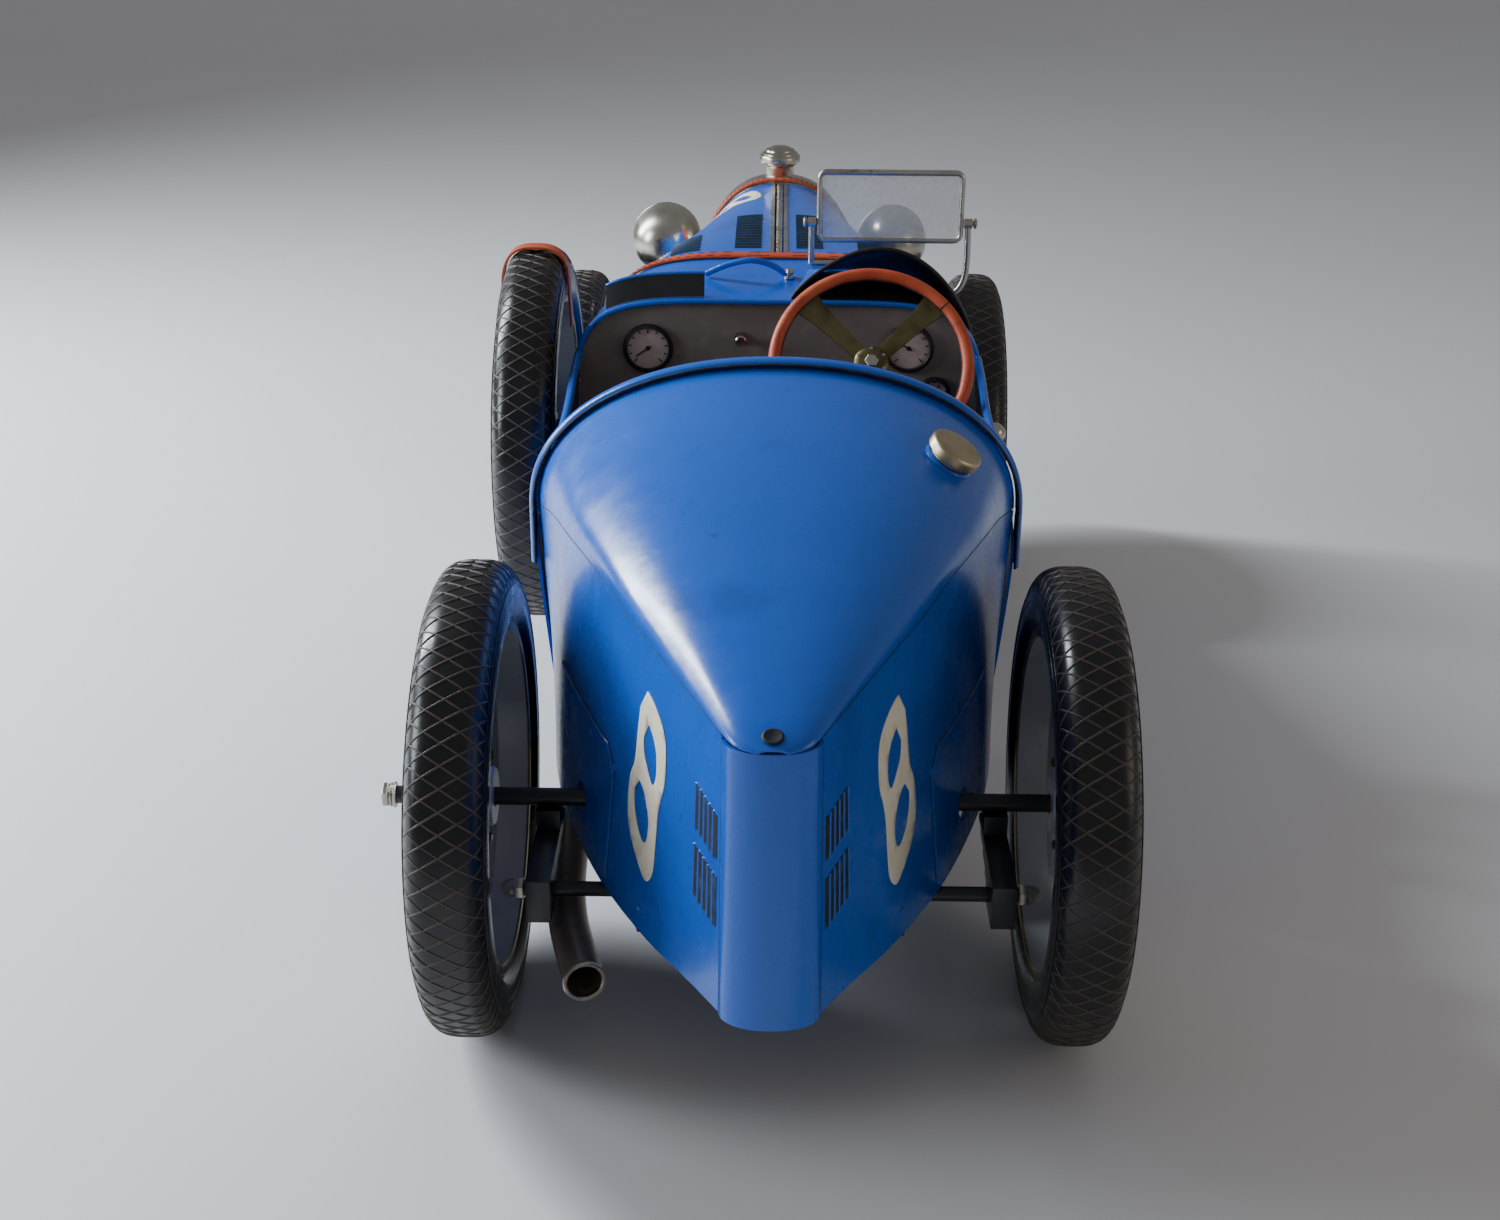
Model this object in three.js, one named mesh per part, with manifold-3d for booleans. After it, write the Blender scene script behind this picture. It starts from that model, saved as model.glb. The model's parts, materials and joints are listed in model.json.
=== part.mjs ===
// A child's pedal car in the style of a 1920s boat-tailed racer.
// Millimetres. +X is the driver's right, +Y is forward, +Z is up.
// The car is drawn with the rear axle at y = 0 and the ground at z = 0, then shifted so that
// the origin is under the middle of its bounding box.
import * as THREE from "three";
import { mergeVertices } from "three/addons/utils/BufferGeometryUtils.js";
import Module from "manifold-3d";

const wasm = await Module();
wasm.setup();

// ---------------------------------------------------------------- driving dimensions
const GAP = 0.3; // between pieces that touch on the real car
const WHEELBASE = 800;
const TYRE_R = 160;
const TYRE_WIDTH = 51;
const RIM_R = 121;
const TRACK_HALF = 198; // middle of the tyre from the car's centre line
const SHEET = 2.2; // body sheet, with its paint
const BODY_BOTTOM = 128;
const RAIL_TOP = BODY_BOTTOM - GAP;
const RAIL_BOTTOM = 100;
const AXLE_R = 6;
const AXLE_BORE = AXLE_R + GAP;
const TAIL_END = -219;
const HOOP_Y = 190; // back edge of the cockpit
const DASH_Y = 400;
const SCUTTLE_END = 503;
const BONNET_END = 750;
const RADIATOR_FRONT = 800;
const SHOULDER_Z = 262; // where the body's sides turn over into its top
const PANEL_SPLIT_Z = 290; // the bonnet's lower edge
const ENGINE_SIDE_BOTTOM = 178;
const STEER_HUB = new THREE.Vector3(73, 325, 368);
const STEER_TILT = THREE.MathUtils.degToRad(38);
const STRAP_END_Z = 215;
const RADIATOR_SHAPE_Y = 780;
const STEER_R = 75.5; // to the middle of the rim's section
const STEER_RIM_R = 5;
const SCREEN = { left: 31, right: 153, bottom: 430, top: 491, y: 470, pivotZ: 447 };
const SPARE = new THREE.Vector3(-203, 468, 262);
const CRANK = { y: 560, z: 168, throw: 45, sprocket: 26 };
const AXLE_SPROCKET_R = 18;
const SEAT_Z = 200;
const KINGPIN_X = 158;
const ARM_LENGTH = 30; // steering arm, from the kingpin forward to the tie rod
const CAP_Y = 780;
const TYRE_SIDES = 32;
const WHEEL_SIDES = 20;

// ---------------------------------------------------------------- materials
const paint = (color, roughness, metalness) =>
  new THREE.MeshStandardMaterial({ color, roughness, metalness, flatShading: true });
const BLUE = paint(0x2a68b4, 0.35, 0.1);
const BLACK = paint(0x18181a, 0.45, 0.2);
const NICKEL = paint(0xb9b4a8, 0.3, 0.9);
const RUBBER = paint(0x17171a, 0.55, 0);
const LEATHER = paint(0xb8452a, 0.6, 0);
const BRASS = paint(0x6f6440, 0.4, 0.8);
const STEEL = paint(0x8d8579, 0.4, 0.8);
const DASH = paint(0x3b3733, 0.7, 0.1);
const GLASS = paint(0xc6d0d4, 0.05, 0);
const WHEEL_PAINT = paint(0xb4b8bc, 0.4, 0.4);

// ---------------------------------------------------------------- group and helpers
const car = new THREE.Group();

function add(name, geometry, material, parent = car) {
  const mesh = new THREE.Mesh(geometry, material);
  mesh.name = name;
  parent.add(mesh);
  return mesh;
}

// Smooth curve through a table of [y, value] rows, sorted by y.
function curve(table, y) {
  const last = table.length - 1;
  let i = 0;
  while (i < last - 1 && y > table[i + 1][0]) i += 1;
  const slope = (j) => {
    const a = Math.max(j - 1, 0);
    const b = Math.min(j + 1, last);
    return (table[b][1] - table[a][1]) / (table[b][0] - table[a][0]);
  };
  const h = table[i + 1][0] - table[i][0];
  const t = THREE.MathUtils.clamp((y - table[i][0]) / h, 0, 1);
  const [p, q] = [table[i][1], table[i + 1][1]];
  const [m, n] = [slope(i) * h, slope(i + 1) * h];
  const t2 = t * t;
  const t3 = t2 * t;
  return (2 * t3 - 3 * t2 + 1) * p + (t3 - 2 * t2 + t) * m + (3 * t2 - 2 * t3) * q + (t3 - t2) * n;
}

// Even steps from a to b, both included.
function steps(a, b, count) {
  return Array.from({ length: count + 1 }, (_, i) => a + ((b - a) * i) / count);
}

// Turns every face round if the closed surface was drawn inside out.
function faceOut(geometry) {
  const { position } = geometry.attributes;
  const index = Array.from(geometry.index.array);
  const [a, b, c] = [new THREE.Vector3(), new THREE.Vector3(), new THREE.Vector3()];
  let volume = 0;
  for (let i = 0; i < index.length; i += 3) {
    a.fromBufferAttribute(position, index[i]);
    b.fromBufferAttribute(position, index[i + 1]);
    c.fromBufferAttribute(position, index[i + 2]);
    volume += a.dot(b.cross(c));
  }
  if (volume < 0) geometry.setIndex(index.reverse());
  geometry.computeVertexNormals();
  return geometry;
}

function geometryFrom(points, triangles) {
  const geometry = new THREE.BufferGeometry();
  geometry.setAttribute("position", new THREE.Float32BufferAttribute(points.flat(), 3));
  geometry.setIndex(triangles.flat());
  return faceOut(geometry);
}

// A sheet-metal panel between two grids of points of the same size.
function panel(outer, inner) {
  const rows = outer.length;
  const cols = outer[0].length;
  const points = [...outer.flat(), ...inner.flat()];
  const at = (layer, r, c) => layer * rows * cols + r * cols + c;
  const triangles = [];
  const quad = (a, b, c, d) => triangles.push([a, b, c], [a, c, d]);
  for (let r = 0; r < rows - 1; r += 1) {
    for (let c = 0; c < cols - 1; c += 1) {
      quad(at(0, r, c), at(0, r, c + 1), at(0, r + 1, c + 1), at(0, r + 1, c));
      quad(at(1, r, c), at(1, r + 1, c), at(1, r + 1, c + 1), at(1, r, c + 1));
    }
    quad(at(0, r, 0), at(0, r + 1, 0), at(1, r + 1, 0), at(1, r, 0));
    quad(at(0, r, cols - 1), at(1, r, cols - 1), at(1, r + 1, cols - 1), at(0, r + 1, cols - 1));
  }
  for (let c = 0; c < cols - 1; c += 1) {
    quad(at(0, 0, c), at(1, 0, c), at(1, 0, c + 1), at(0, 0, c + 1));
    quad(at(0, rows - 1, c), at(0, rows - 1, c + 1), at(1, rows - 1, c + 1), at(1, rows - 1, c));
  }
  return geometryFrom(points, triangles);
}

// A solid through convex rings of points, closed by a fan at each end.
function loft(rings) {
  const n = rings[0].length;
  const points = rings.flat();
  const triangles = [];
  for (let r = 0; r < rings.length - 1; r += 1) {
    for (let i = 0; i < n; i += 1) {
      const [a, b] = [r * n + i, r * n + ((i + 1) % n)];
      triangles.push([a, b, b + n], [a, b + n, a + n]);
    }
  }
  const top = (rings.length - 1) * n;
  for (let i = 1; i < n - 1; i += 1) {
    triangles.push([0, i + 1, i], [top, top + i, top + i + 1]);
  }
  return geometryFrom(points, triangles);
}

function block(x0, x1, y0, y1, z0, z1) {
  const geometry = new THREE.BoxGeometry(x1 - x0, y1 - y0, z1 - z0);
  return geometry.translate((x0 + x1) / 2, (y0 + y1) / 2, (z0 + z1) / 2);
}

// A turned piece: profile rows are [radius, distance along the axis], axis X, Y or Z.
function turned(profile, axis, sides = WHEEL_SIDES, halfStep = false) {
  const points = profile.map(([r, h]) => new THREE.Vector2(Math.max(r, 0), h));
  const geometry = new THREE.LatheGeometry(points, sides);
  if (halfStep) geometry.rotateY(Math.PI / sides);
  if (axis === "X") geometry.rotateZ(-Math.PI / 2);
  if (axis === "Z") geometry.rotateX(Math.PI / 2);
  return faceOut(geometry);
}

function rod(radius, from, to, sides = 10) {
  const [a, b] = [new THREE.Vector3(...from), new THREE.Vector3(...to)];
  const geometry = new THREE.CylinderGeometry(radius, radius, a.distanceTo(b), sides);
  const turn = new THREE.Quaternion();
  turn.setFromUnitVectors(new THREE.Vector3(0, 1, 0), b.clone().sub(a).normalize());
  geometry.applyQuaternion(turn);
  const middle = a.add(b).multiplyScalar(0.5);
  return geometry.translate(middle.x, middle.y, middle.z);
}

function disc(radius) {
  return new THREE.Shape().absarc(0, 0, radius, 0, 2 * Math.PI, false);
}

function tube(points, radius, pathSteps, sides = 10, bore = 0) {
  const shape = disc(radius);
  if (bore > 0) shape.holes.push(new THREE.Path().absarc(0, 0, bore, 0, 2 * Math.PI, true));
  const path = new THREE.CatmullRomCurve3(points.map((p) => new THREE.Vector3(...p)));
  const options = { steps: pathSteps, extrudePath: path, curveSegments: sides, bevelEnabled: false };
  return new THREE.ExtrudeGeometry(shape, options);
}

function solid(geometry) {
  const bare = geometry.clone();
  bare.deleteAttribute("normal");
  bare.deleteAttribute("uv");
  const merged = mergeVertices(bare, 1e-4);
  const vertProperties = new Float32Array(merged.attributes.position.array);
  const triVerts = new Uint32Array(merged.index.array);
  return new wasm.Manifold(new wasm.Mesh({ numProp: 3, vertProperties, triVerts }));
}

function back(manifold) {
  const mesh = manifold.getMesh();
  const geometry = new THREE.BufferGeometry();
  const position = new THREE.BufferAttribute(new Float32Array(mesh.vertProperties), 3);
  geometry.setAttribute("position", position);
  geometry.setIndex(new THREE.BufferAttribute(new Uint32Array(mesh.triVerts), 1));
  geometry.computeVertexNormals();
  return geometry;
}

const join = (...parts) => back(parts.map(solid).reduce((a, b) => a.add(b)));
const cut = (body, ...tools) => back(tools.map(solid).reduce((a, b) => a.subtract(b), solid(body)));

// ---------------------------------------------------------------- the body's shape
// Half-width at the lower edge, and at the crease between the sides and the top.
const LOWER_HALF = [
  [-200, 30], [-170, 48], [-124, 77], [-60, 109], [0, 131], [68, 150], [130, 160], [190, 163],
  [300, 162], [400, 160], [503, 148],
];
const CREASE_HALF = [
  [TAIL_END, 9], [-213, 20], [-200, 28], [-170, 42], [-124, 63], [-60, 91], [0, 114],
  [68, 139], [130, 157], [190, 174],
];
const CREASE_Z = [
  [TAIL_END, 308], [-170, 314], [-124, 318], [-60, 322], [0, 325], [68, 323], [130, 315], [190, 300],
];
const RIDGE_Z = [
  [TAIL_END, 311], [-200, 319], [-124, 341], [-60, 358], [0, 373], [68, 387], [130, 398], [190, 407],
];
const RIDGE_POWER = 2.15;
// Forward of the cockpit's back edge: half-width at the shoulder, top, and squareness of the arch.
const SHOULDER_HALF = [
  [190, 176], [250, 171], [300, 168], [400, 167], [450, 160], [503, 149], [580, 132], [650, 112],
  [700, 98], [750, 86], [800, 84],
];
const TOP_Z = [[400, 398], [450, 406], [503, 413], [750, 422], [800, 424]];
const ARCH_POWER = [[400, 5.5], [450, 4.8], [503, 4], [600, 3], [700, 2.5], [800, 2.4]];

function archPoint(half, base, top, power, angle) {
  const c = Math.cos(angle);
  const s = Math.max(Math.sin(angle), 0);
  const x = half * Math.sign(c) * Math.abs(c) ** (2 / power);
  return [x, base + (top - base) * s ** (2 / power)];
}

// One arch of the front body, from the right shoulder over to the left, grown by offset.
function frontArch(y, offset, angles) {
  const half = curve(SHOULDER_HALF, y) + offset;
  const top = curve(TOP_Z, y) + offset;
  const power = curve(ARCH_POWER, y);
  return angles.map((angle) => {
    const [x, z] = archPoint(half, SHOULDER_Z, top, power, angle);
    return [x, y, z];
  });
}

// Height of the front body's skin above a point of its plan.
function frontSkin(x, y) {
  const half = curve(SHOULDER_HALF, y);
  const power = curve(ARCH_POWER, y);
  const rise = (1 - Math.min(Math.abs(x) / half, 1) ** power) ** (1 / power);
  return SHOULDER_Z + (curve(TOP_Z, y) - SHOULDER_Z) * rise;
}

// ---------------------------------------------------------------- chassis
const RAIL_X = [[-72, 78], [-50, 84], [0, 94], [60, 98], [400, 96], [600, 76], [850, 68]];
const RAIL_HALF = 9;
const CROSS_ROD = { y: -50, z: 119, r: 5, half: 162 };

function rail(side) {
  const rings = steps(-72, 850, 14).map((y) => {
    const x = side * curve(RAIL_X, y);
    const [a, b] = [x - RAIL_HALF, x + RAIL_HALF];
    return [[a, y, RAIL_BOTTOM], [b, y, RAIL_BOTTOM], [b, y, RAIL_TOP], [a, y, RAIL_TOP]];
  });
  const { y, z, r } = CROSS_ROD;
  return cut(loft(rings), rod(r + GAP, [side * 40, y, z], [side * 140, y, z]));
}

function buildChassis() {
  add("rail_left", rail(-1), BLACK);
  add("rail_right", rail(1), BLACK);

  // A threaded rod through both rails, with a domed nut on each end.
  const { y, z, r, half } = CROSS_ROD;
  const nut = [[0, half + 16], [4, half + 15], [7, half + 11], [7.5, half + 2], [7.5, half], [r, half]];
  const mirrored = nut.map(([radius, h]) => [radius, -h]);
  add("rear_cross_rod", turned([...mirrored, ...nut.slice().reverse()], "X", 16).translate(0, y, z), NICKEL);

  // The rear axle turns in two ears on a plate across the rails.
  const ear = (side) => block(side < 0 ? -104 : 98, side < 0 ? -98 : 104, -16, 16, 130, 178);
  const bore = rod(AXLE_BORE, [-120, 0, TYRE_R], [120, 0, TYRE_R], 20);
  const base = block(-104, 104, -22, 22, BODY_BOTTOM, 133);
  add("axle_carrier", cut(join(base, ear(-1), ear(1)), bore), BLACK);

  // The crank turns in two uprights of a bracket between the rails.
  const half2 = curve(RAIL_X, CRANK.y + 12) - RAIL_HALF - 2;
  const upright = (side) => {
    const [a, b] = side < 0 ? [-half2, -half2 + 5] : [half2 - 5, half2];
    return block(a, b, CRANK.y - 12, CRANK.y + 12, RAIL_BOTTOM, CRANK.z + 14);
  };
  const foot = block(-half2, half2, CRANK.y - 12, CRANK.y + 12, RAIL_BOTTOM, RAIL_BOTTOM + 6);
  const crankBore = rod(5 + GAP, [-100, CRANK.y, CRANK.z], [100, CRANK.y, CRANK.z]);
  add("pedal_bracket", cut(join(foot, upright(-1), upright(1)), crankBore), BLACK);

  // Quarter springs outside the tail, from the cross rod forward to the axle.
  for (const [name, side] of [["rear_spring_left", -1], ["rear_spring_right", 1]]) {
    const [a, b] = side < 0 ? [-158, -142] : [142, 158];
    const leaves = [[-78, 22], [-78, 8], [-78, -10], [-78, -28]].map(([from, to], i) =>
      block(a, b, from, to, 140 - 4.4 * (i + 1), 140.2 - 4.4 * i));
    const pad = block(a, b, -9, 9, 139, TYRE_R - AXLE_R - GAP);
    const eye = block(a, b, -78, -38, 110, 124);
    const hole = rod(r + GAP, [side * 130, y, z], [side * 170, y, z]);
    add(name, cut(join(...leaves, pad, eye), hole), BLACK);
  }
}

// ---------------------------------------------------------------- tail and cockpit
function buildTail() {
  const ys = [TAIL_END, -216, -210, -200, ...steps(-170, 165, 7), HOOP_Y];
  const angles = steps(0, Math.PI, 16);
  const deckRow = (y, inset) => {
    const half = curve(CREASE_HALF, y);
    const base = curve(CREASE_Z, y);
    const top = curve(RIDGE_Z, y);
    const t = Math.min(inset, 0.5 * (top - base), 0.3 * half);
    return angles.map((angle) => {
      const [x, z] = archPoint(half - t, base, top - t, RIDGE_POWER, angle);
      return [x, y, z];
    });
  };
  add("tail_deck", panel(ys.map((y) => deckRow(y, 0)), ys.map((y) => deckRow(y, SHEET))), BLUE);

  const sideRow = (side, y, inset) => steps(0, 1, 2).map((t) => {
    const half = THREE.MathUtils.lerp(curve(LOWER_HALF, y), curve(CREASE_HALF, y), t);
    const z = THREE.MathUtils.lerp(BODY_BOTTOM, curve(CREASE_Z, y) - GAP, t);
    return [side * (half - inset), y, z];
  });
  const sideYs = [-199.5, ...steps(-170, 165, 7), HOOP_Y];
  for (const [name, side] of [["tail_side_left", -1], ["tail_side_right", 1]]) {
    const skin = [0, SHEET].map((inset) => sideYs.map((y) => sideRow(side, y, inset)));
    const hole = rod(11, [side * 100, 0, TYRE_R], [side * 160, 0, TYRE_R]);
    add(name, cut(panel(...skin), hole), BLUE);
  }

  // The upright strip that closes the two sides at the very back.
  const strip = (inset) => [0, 1].map((t) => {
    const half = THREE.MathUtils.lerp(30, 28, t) - inset;
    const z = THREE.MathUtils.lerp(BODY_BOTTOM, 307.6, t);
    return steps(0, Math.PI, 16).map((angle) => {
      const [x, depth] = archPoint(half, 0, 19.2 - inset, 2.1, angle);
      return [x, -199.8 - depth, z];
    });
  });
  add("tail_strip", panel(strip(0), strip(SHEET)), BLUE);
}

// Top of the cockpit's side, which the rolled edge follows.
const COCKPIT_EDGE = [[190, 312], [230, 322], [300, 336], [400, 352]];

function cockpitSide(side) {
  const row = (y, inset) => {
    const shoulder = curve(SHOULDER_HALF, y);
    const edge = curve(COCKPIT_EDGE, y);
    const lean = THREE.MathUtils.lerp(6, 3, (y - HOOP_Y) / (DASH_Y - HOOP_Y));
    const outline = [
      [curve(LOWER_HALF, y), BODY_BOTTOM], [shoulder - 5, 200], [shoulder, SHOULDER_Z],
      [shoulder - lean * 0.3, (SHOULDER_Z + edge) / 2], [shoulder - lean, edge],
    ];
    return outline.map(([x, z]) => [side * (x - inset), y, z]);
  };
  const ys = steps(HOOP_Y + GAP, DASH_Y - GAP, 8);
  return panel(ys.map((y) => row(y, 0)), ys.map((y) => row(y, SHEET)));
}

function buildCockpit() {
  add("cockpit_side_left", cockpitSide(-1), BLUE);
  add("cockpit_side_right", cockpitSide(1), BLUE);

  // Rolled edge over the back of the cockpit, with its ends hanging down the sides.
  const hoopRow = (y, offset) => {
    const base = 300;
    const over = steps(0, Math.PI, 20).map((angle) => archPoint(174 + offset, base, 407 + offset, 2.15, angle));
    const tailEnds = [[174 + offset, 256], [174 + offset, 278]];
    const left = tailEnds.map(([x, z]) => [-x, z]).reverse();
    return [...tailEnds, ...over, ...left].map(([x, z]) => [x, y, z]);
  };
  const hoopYs = [HOOP_Y - 9, HOOP_Y + 3];
  add("coaming_hoop", panel(hoopYs.map((y) => hoopRow(y, 6)), hoopYs.map((y) => hoopRow(y, 2.6))), BLUE);

  add("floor_pan", block(-140, 140, 66, 395, BODY_BOTTOM, BODY_BOTTOM + 2.5), BLACK);

  // Bench with two side legs and a back plate, over the chain.
  const top = block(-128, 128, 176, 318, SEAT_Z - 3, SEAT_Z);
  const legs = [-128, 125].map((x) => block(x, x + 3, 176, 318, BODY_BOTTOM + 2.5 + GAP, SEAT_Z));
  const backPlate = block(-128, 128, 173, 176.5, SEAT_Z - 3, SEAT_Z + 96);
  add("seat_frame", join(top, ...legs, backPlate), BLACK);
  const cushion = new THREE.Shape();
  cushion.moveTo(178, SEAT_Z + 0.5);
  cushion.lineTo(316, SEAT_Z + 0.5);
  cushion.quadraticCurveTo(326, SEAT_Z + 16, 312, SEAT_Z + 30);
  cushion.quadraticCurveTo(250, SEAT_Z + 38, 180, SEAT_Z + 29);
  const cushionBody = new THREE.ExtrudeGeometry(cushion, { depth: 244, bevelEnabled: false, curveSegments: 6 });
  // The outline is drawn in Y and Z, and runs across the car.
  cushionBody.applyMatrix4(new THREE.Matrix4().set(0, 0, 1, -122, 1, 0, 0, 0, 0, 1, 0, 0, 0, 0, 0, 1));
  add("seat_cushion", cushionBody, LEATHER);
}

// ---------------------------------------------------------------- scuttle, dash and screens
function buildScuttle() {
  const angles = steps(0, Math.PI, 20);
  const row = (y, inset) => {
    const lower = curve(LOWER_HALF, y) - inset;
    const foot = [lower, y, BODY_BOTTOM];
    const arch = frontArch(y, -inset, angles);
    return [foot, ...arch, [-lower, y, BODY_BOTTOM]];
  };
  const ys = [DASH_Y, 425, 450, 475, SCUTTLE_END];
  const skin = panel(ys.map((y) => row(y, 0)), ys.map((y) => row(y, SHEET)));
  const peg = (radius, end) => rod(radius, [-150, SPARE.y, SPARE.z], [end, SPARE.y, SPARE.z], 14);
  add("scuttle", join(skin, peg(12, SPARE.x + 12.5), peg(5.9, SPARE.x - 31)), BLUE);

  const outline = new THREE.Shape();
  const edge = frontArch(DASH_Y + 6, -SHEET - 1.2, steps(0, Math.PI, 20)).map(([x, , z]) => [x, z]);
  outline.setFromPoints([...edge, [-140, 246], [140, 246]].map(([x, z]) => new THREE.Vector2(x, z)));
  const plate = new THREE.ExtrudeGeometry(outline, { depth: 3, bevelEnabled: false });
  plate.rotateX(Math.PI / 2).translate(0, DASH_Y + 6, 0);
  add("dashboard", cut(plate, columnRod(8, 20, 140)), DASH);

  // The driver's cowl: an arched hood whose back edge stands over the steering wheel.
  const cowlRow = (y, lift) => {
    const t = (y - DASH_Y) / 63;
    return steps(0, 1, 12).map((s) => {
      const x = THREE.MathUtils.lerp(10 + 16 * t, 158 - 26 * t, s);
      const arch = 43 * Math.sin(Math.PI * s) ** 0.8 * (1 - t) ** 0.75;
      return [x, y, frontSkin(x, y) + GAP + arch + lift];
    });
  };
  const cowlYs = steps(DASH_Y + 1, DASH_Y + 62, 4);
  add("driver_cowl", panel(cowlYs.map((y) => cowlRow(y, 1.6)), cowlYs.map((y) => cowlRow(y, 0))), BLUE);

  // The passenger's wind deflector: a low upright plate leaning forward.
  const wind = (thickness) => steps(0, 1, 3).map((t) => steps(-140, -60, 8).map((x) => {
    const y = DASH_Y + 5 + 9 * t + thickness;
    return [x, y, frontSkin(x, DASH_Y + 5) + GAP + 0.6 + 18 * t];
  }));
  add("passenger_deflector", panel(wind(0), wind(2)), BLACK);

  // Bent rod that stands on the scuttle like a shallow roof.
  const stayFoot = (x, y) => [x, y, frontSkin(x, y) + 3.2];
  const stay = [stayFoot(-60, 446), [-42, 443, frontSkin(-42, 443) + 12], [-23, 440, frontSkin(-23, 440) + 17],
    [-6, 443, frontSkin(-6, 443) + 12], stayFoot(6, 446)];
  add("scuttle_stay", tube(stay, 2.6, 8, 4), BLUE);
}

function roundedRectangle(x0, x1, z0, z1, radius) {
  const shape = new THREE.Shape();
  shape.moveTo(x0 + radius, z0);
  shape.lineTo(x1 - radius, z0);
  shape.absarc(x1 - radius, z0 + radius, radius, -Math.PI / 2, 0, false);
  shape.absarc(x1 - radius, z1 - radius, radius, 0, Math.PI / 2, false);
  shape.absarc(x0 + radius, z1 - radius, radius, Math.PI / 2, Math.PI, false);
  shape.absarc(x0 + radius, z0 + radius, radius, Math.PI, 1.5 * Math.PI, false);
  return shape;
}

// An outline drawn in X and Z, made into a plate that is centred on a plane of constant Y.
function plateAcross(shape, thickness, y) {
  const geometry = new THREE.ExtrudeGeometry(shape, { depth: thickness, bevelEnabled: false, curveSegments: 4 });
  return geometry.rotateX(Math.PI / 2).translate(0, y + thickness / 2, 0);
}

function buildWindscreen() {
  const { left, right, bottom, top, y, pivotZ } = SCREEN;
  const bar = 4.5;
  const frame = roundedRectangle(left, right, bottom, top, 7);
  const opening = roundedRectangle(left + bar, right - bar, bottom + bar, top - bar, 3.5);
  frame.holes.push(new THREE.Path(opening.getPoints(4).reverse()));
  add("windscreen_frame", plateAcross(frame, 5, y), NICKEL);
  const inset = bar + GAP;
  const pane = roundedRectangle(left + inset, right - inset, bottom + inset, top - inset, 3.2);
  add("windscreen_glass", plateAcross(pane, 2, y), GLASS);

  // Two posts on one foot bar that follows the scuttle.
  const foot = steps(left - 4, 112, 5).map((x) => [x, y, frontSkin(x, y) + 3.6]);
  const bend = [[132, y, frontSkin(132, y) + 12], [146, y, 388], [right + 3.5, y, 405]];
  const post = (x, from) => rod(2.6, [x, y, from], [x, y, pivotZ + 3], 8);
  const pivot = (x, reach) => rod(4, [x, y, pivotZ], [x + reach, y, pivotZ], 12);
  const parts = [tube([...foot, ...bend], 2.6, 14, 4), post(left - 4, foot[0][2]), post(right + 3.5, 404)];
  parts.push(pivot(left - 11, 10.5), pivot(right + 0.5, 10.5));
  add("windscreen_posts", join(...parts), NICKEL);
}

// ---------------------------------------------------------------- bonnet and radiator
const HINGE_DROP = 2.4;
const hingeZ = (y) => curve(TOP_Z, y) - HINGE_DROP;
const splitAngle = (y) => {
  const power = curve(ARCH_POWER, y);
  return Math.asin(((PANEL_SPLIT_Z - SHOULDER_Z) / (curve(TOP_Z, y) - SHOULDER_Z)) ** (power / 2));
};

function buildBonnet() {
  const ys = steps(SCUTTLE_END + GAP, BONNET_END - GAP, 4);
  const halfRow = (side, y, inset) => {
    const angles = steps(splitAngle(y), Math.PI / 2, 8);
    const arch = frontArch(y, -inset, angles);
    arch[arch.length - 1][0] = 4;
    return arch.map(([x, , z]) => [side * Math.max(x, 4), y, z]);
  };
  const sideRow = (side, y, inset) => {
    const half = curve(SHOULDER_HALF, y);
    const top = frontArch(y, 0, [splitAngle(y)])[0];
    const outline = [[half - 4, ENGINE_SIDE_BOTTOM], [half, SHOULDER_Z], [top[0], PANEL_SPLIT_Z - 1.2]];
    return outline.map(([x, z]) => [side * (x - inset), y, z]);
  };
  for (const [label, side] of [["left", -1], ["right", 1]]) {
    const top = [0, SHEET].map((inset) => ys.map((y) => halfRow(side, y, inset)));
    add(`bonnet_${label}`, panel(...top), BLUE);
    const lower = [0, SHEET].map((inset) => ys.map((y) => sideRow(side, y, inset)));
    add(`engine_side_${label}`, panel(...lower), BLUE);
  }
  const [a, b] = [SCUTTLE_END + 1, BONNET_END - 1];
  add("bonnet_hinge", rod(3.2, [0, a, hingeZ(a)], [0, b, hingeZ(b)], 12), NICKEL);
}

function radiatorOutline(inset) {
  const arch = frontArch(RADIATOR_SHAPE_Y, -inset, steps(0, Math.PI, 20)).map(([x, , z]) => [x, z]);
  const bottom = 150 + inset;
  const outline = [...arch, [-74 + inset, 200], [-60 + inset, bottom], [60 - inset, bottom], [74 - inset, 200]];
  return outline.map(([x, z]) => new THREE.Vector2(x, z));
}

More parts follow.
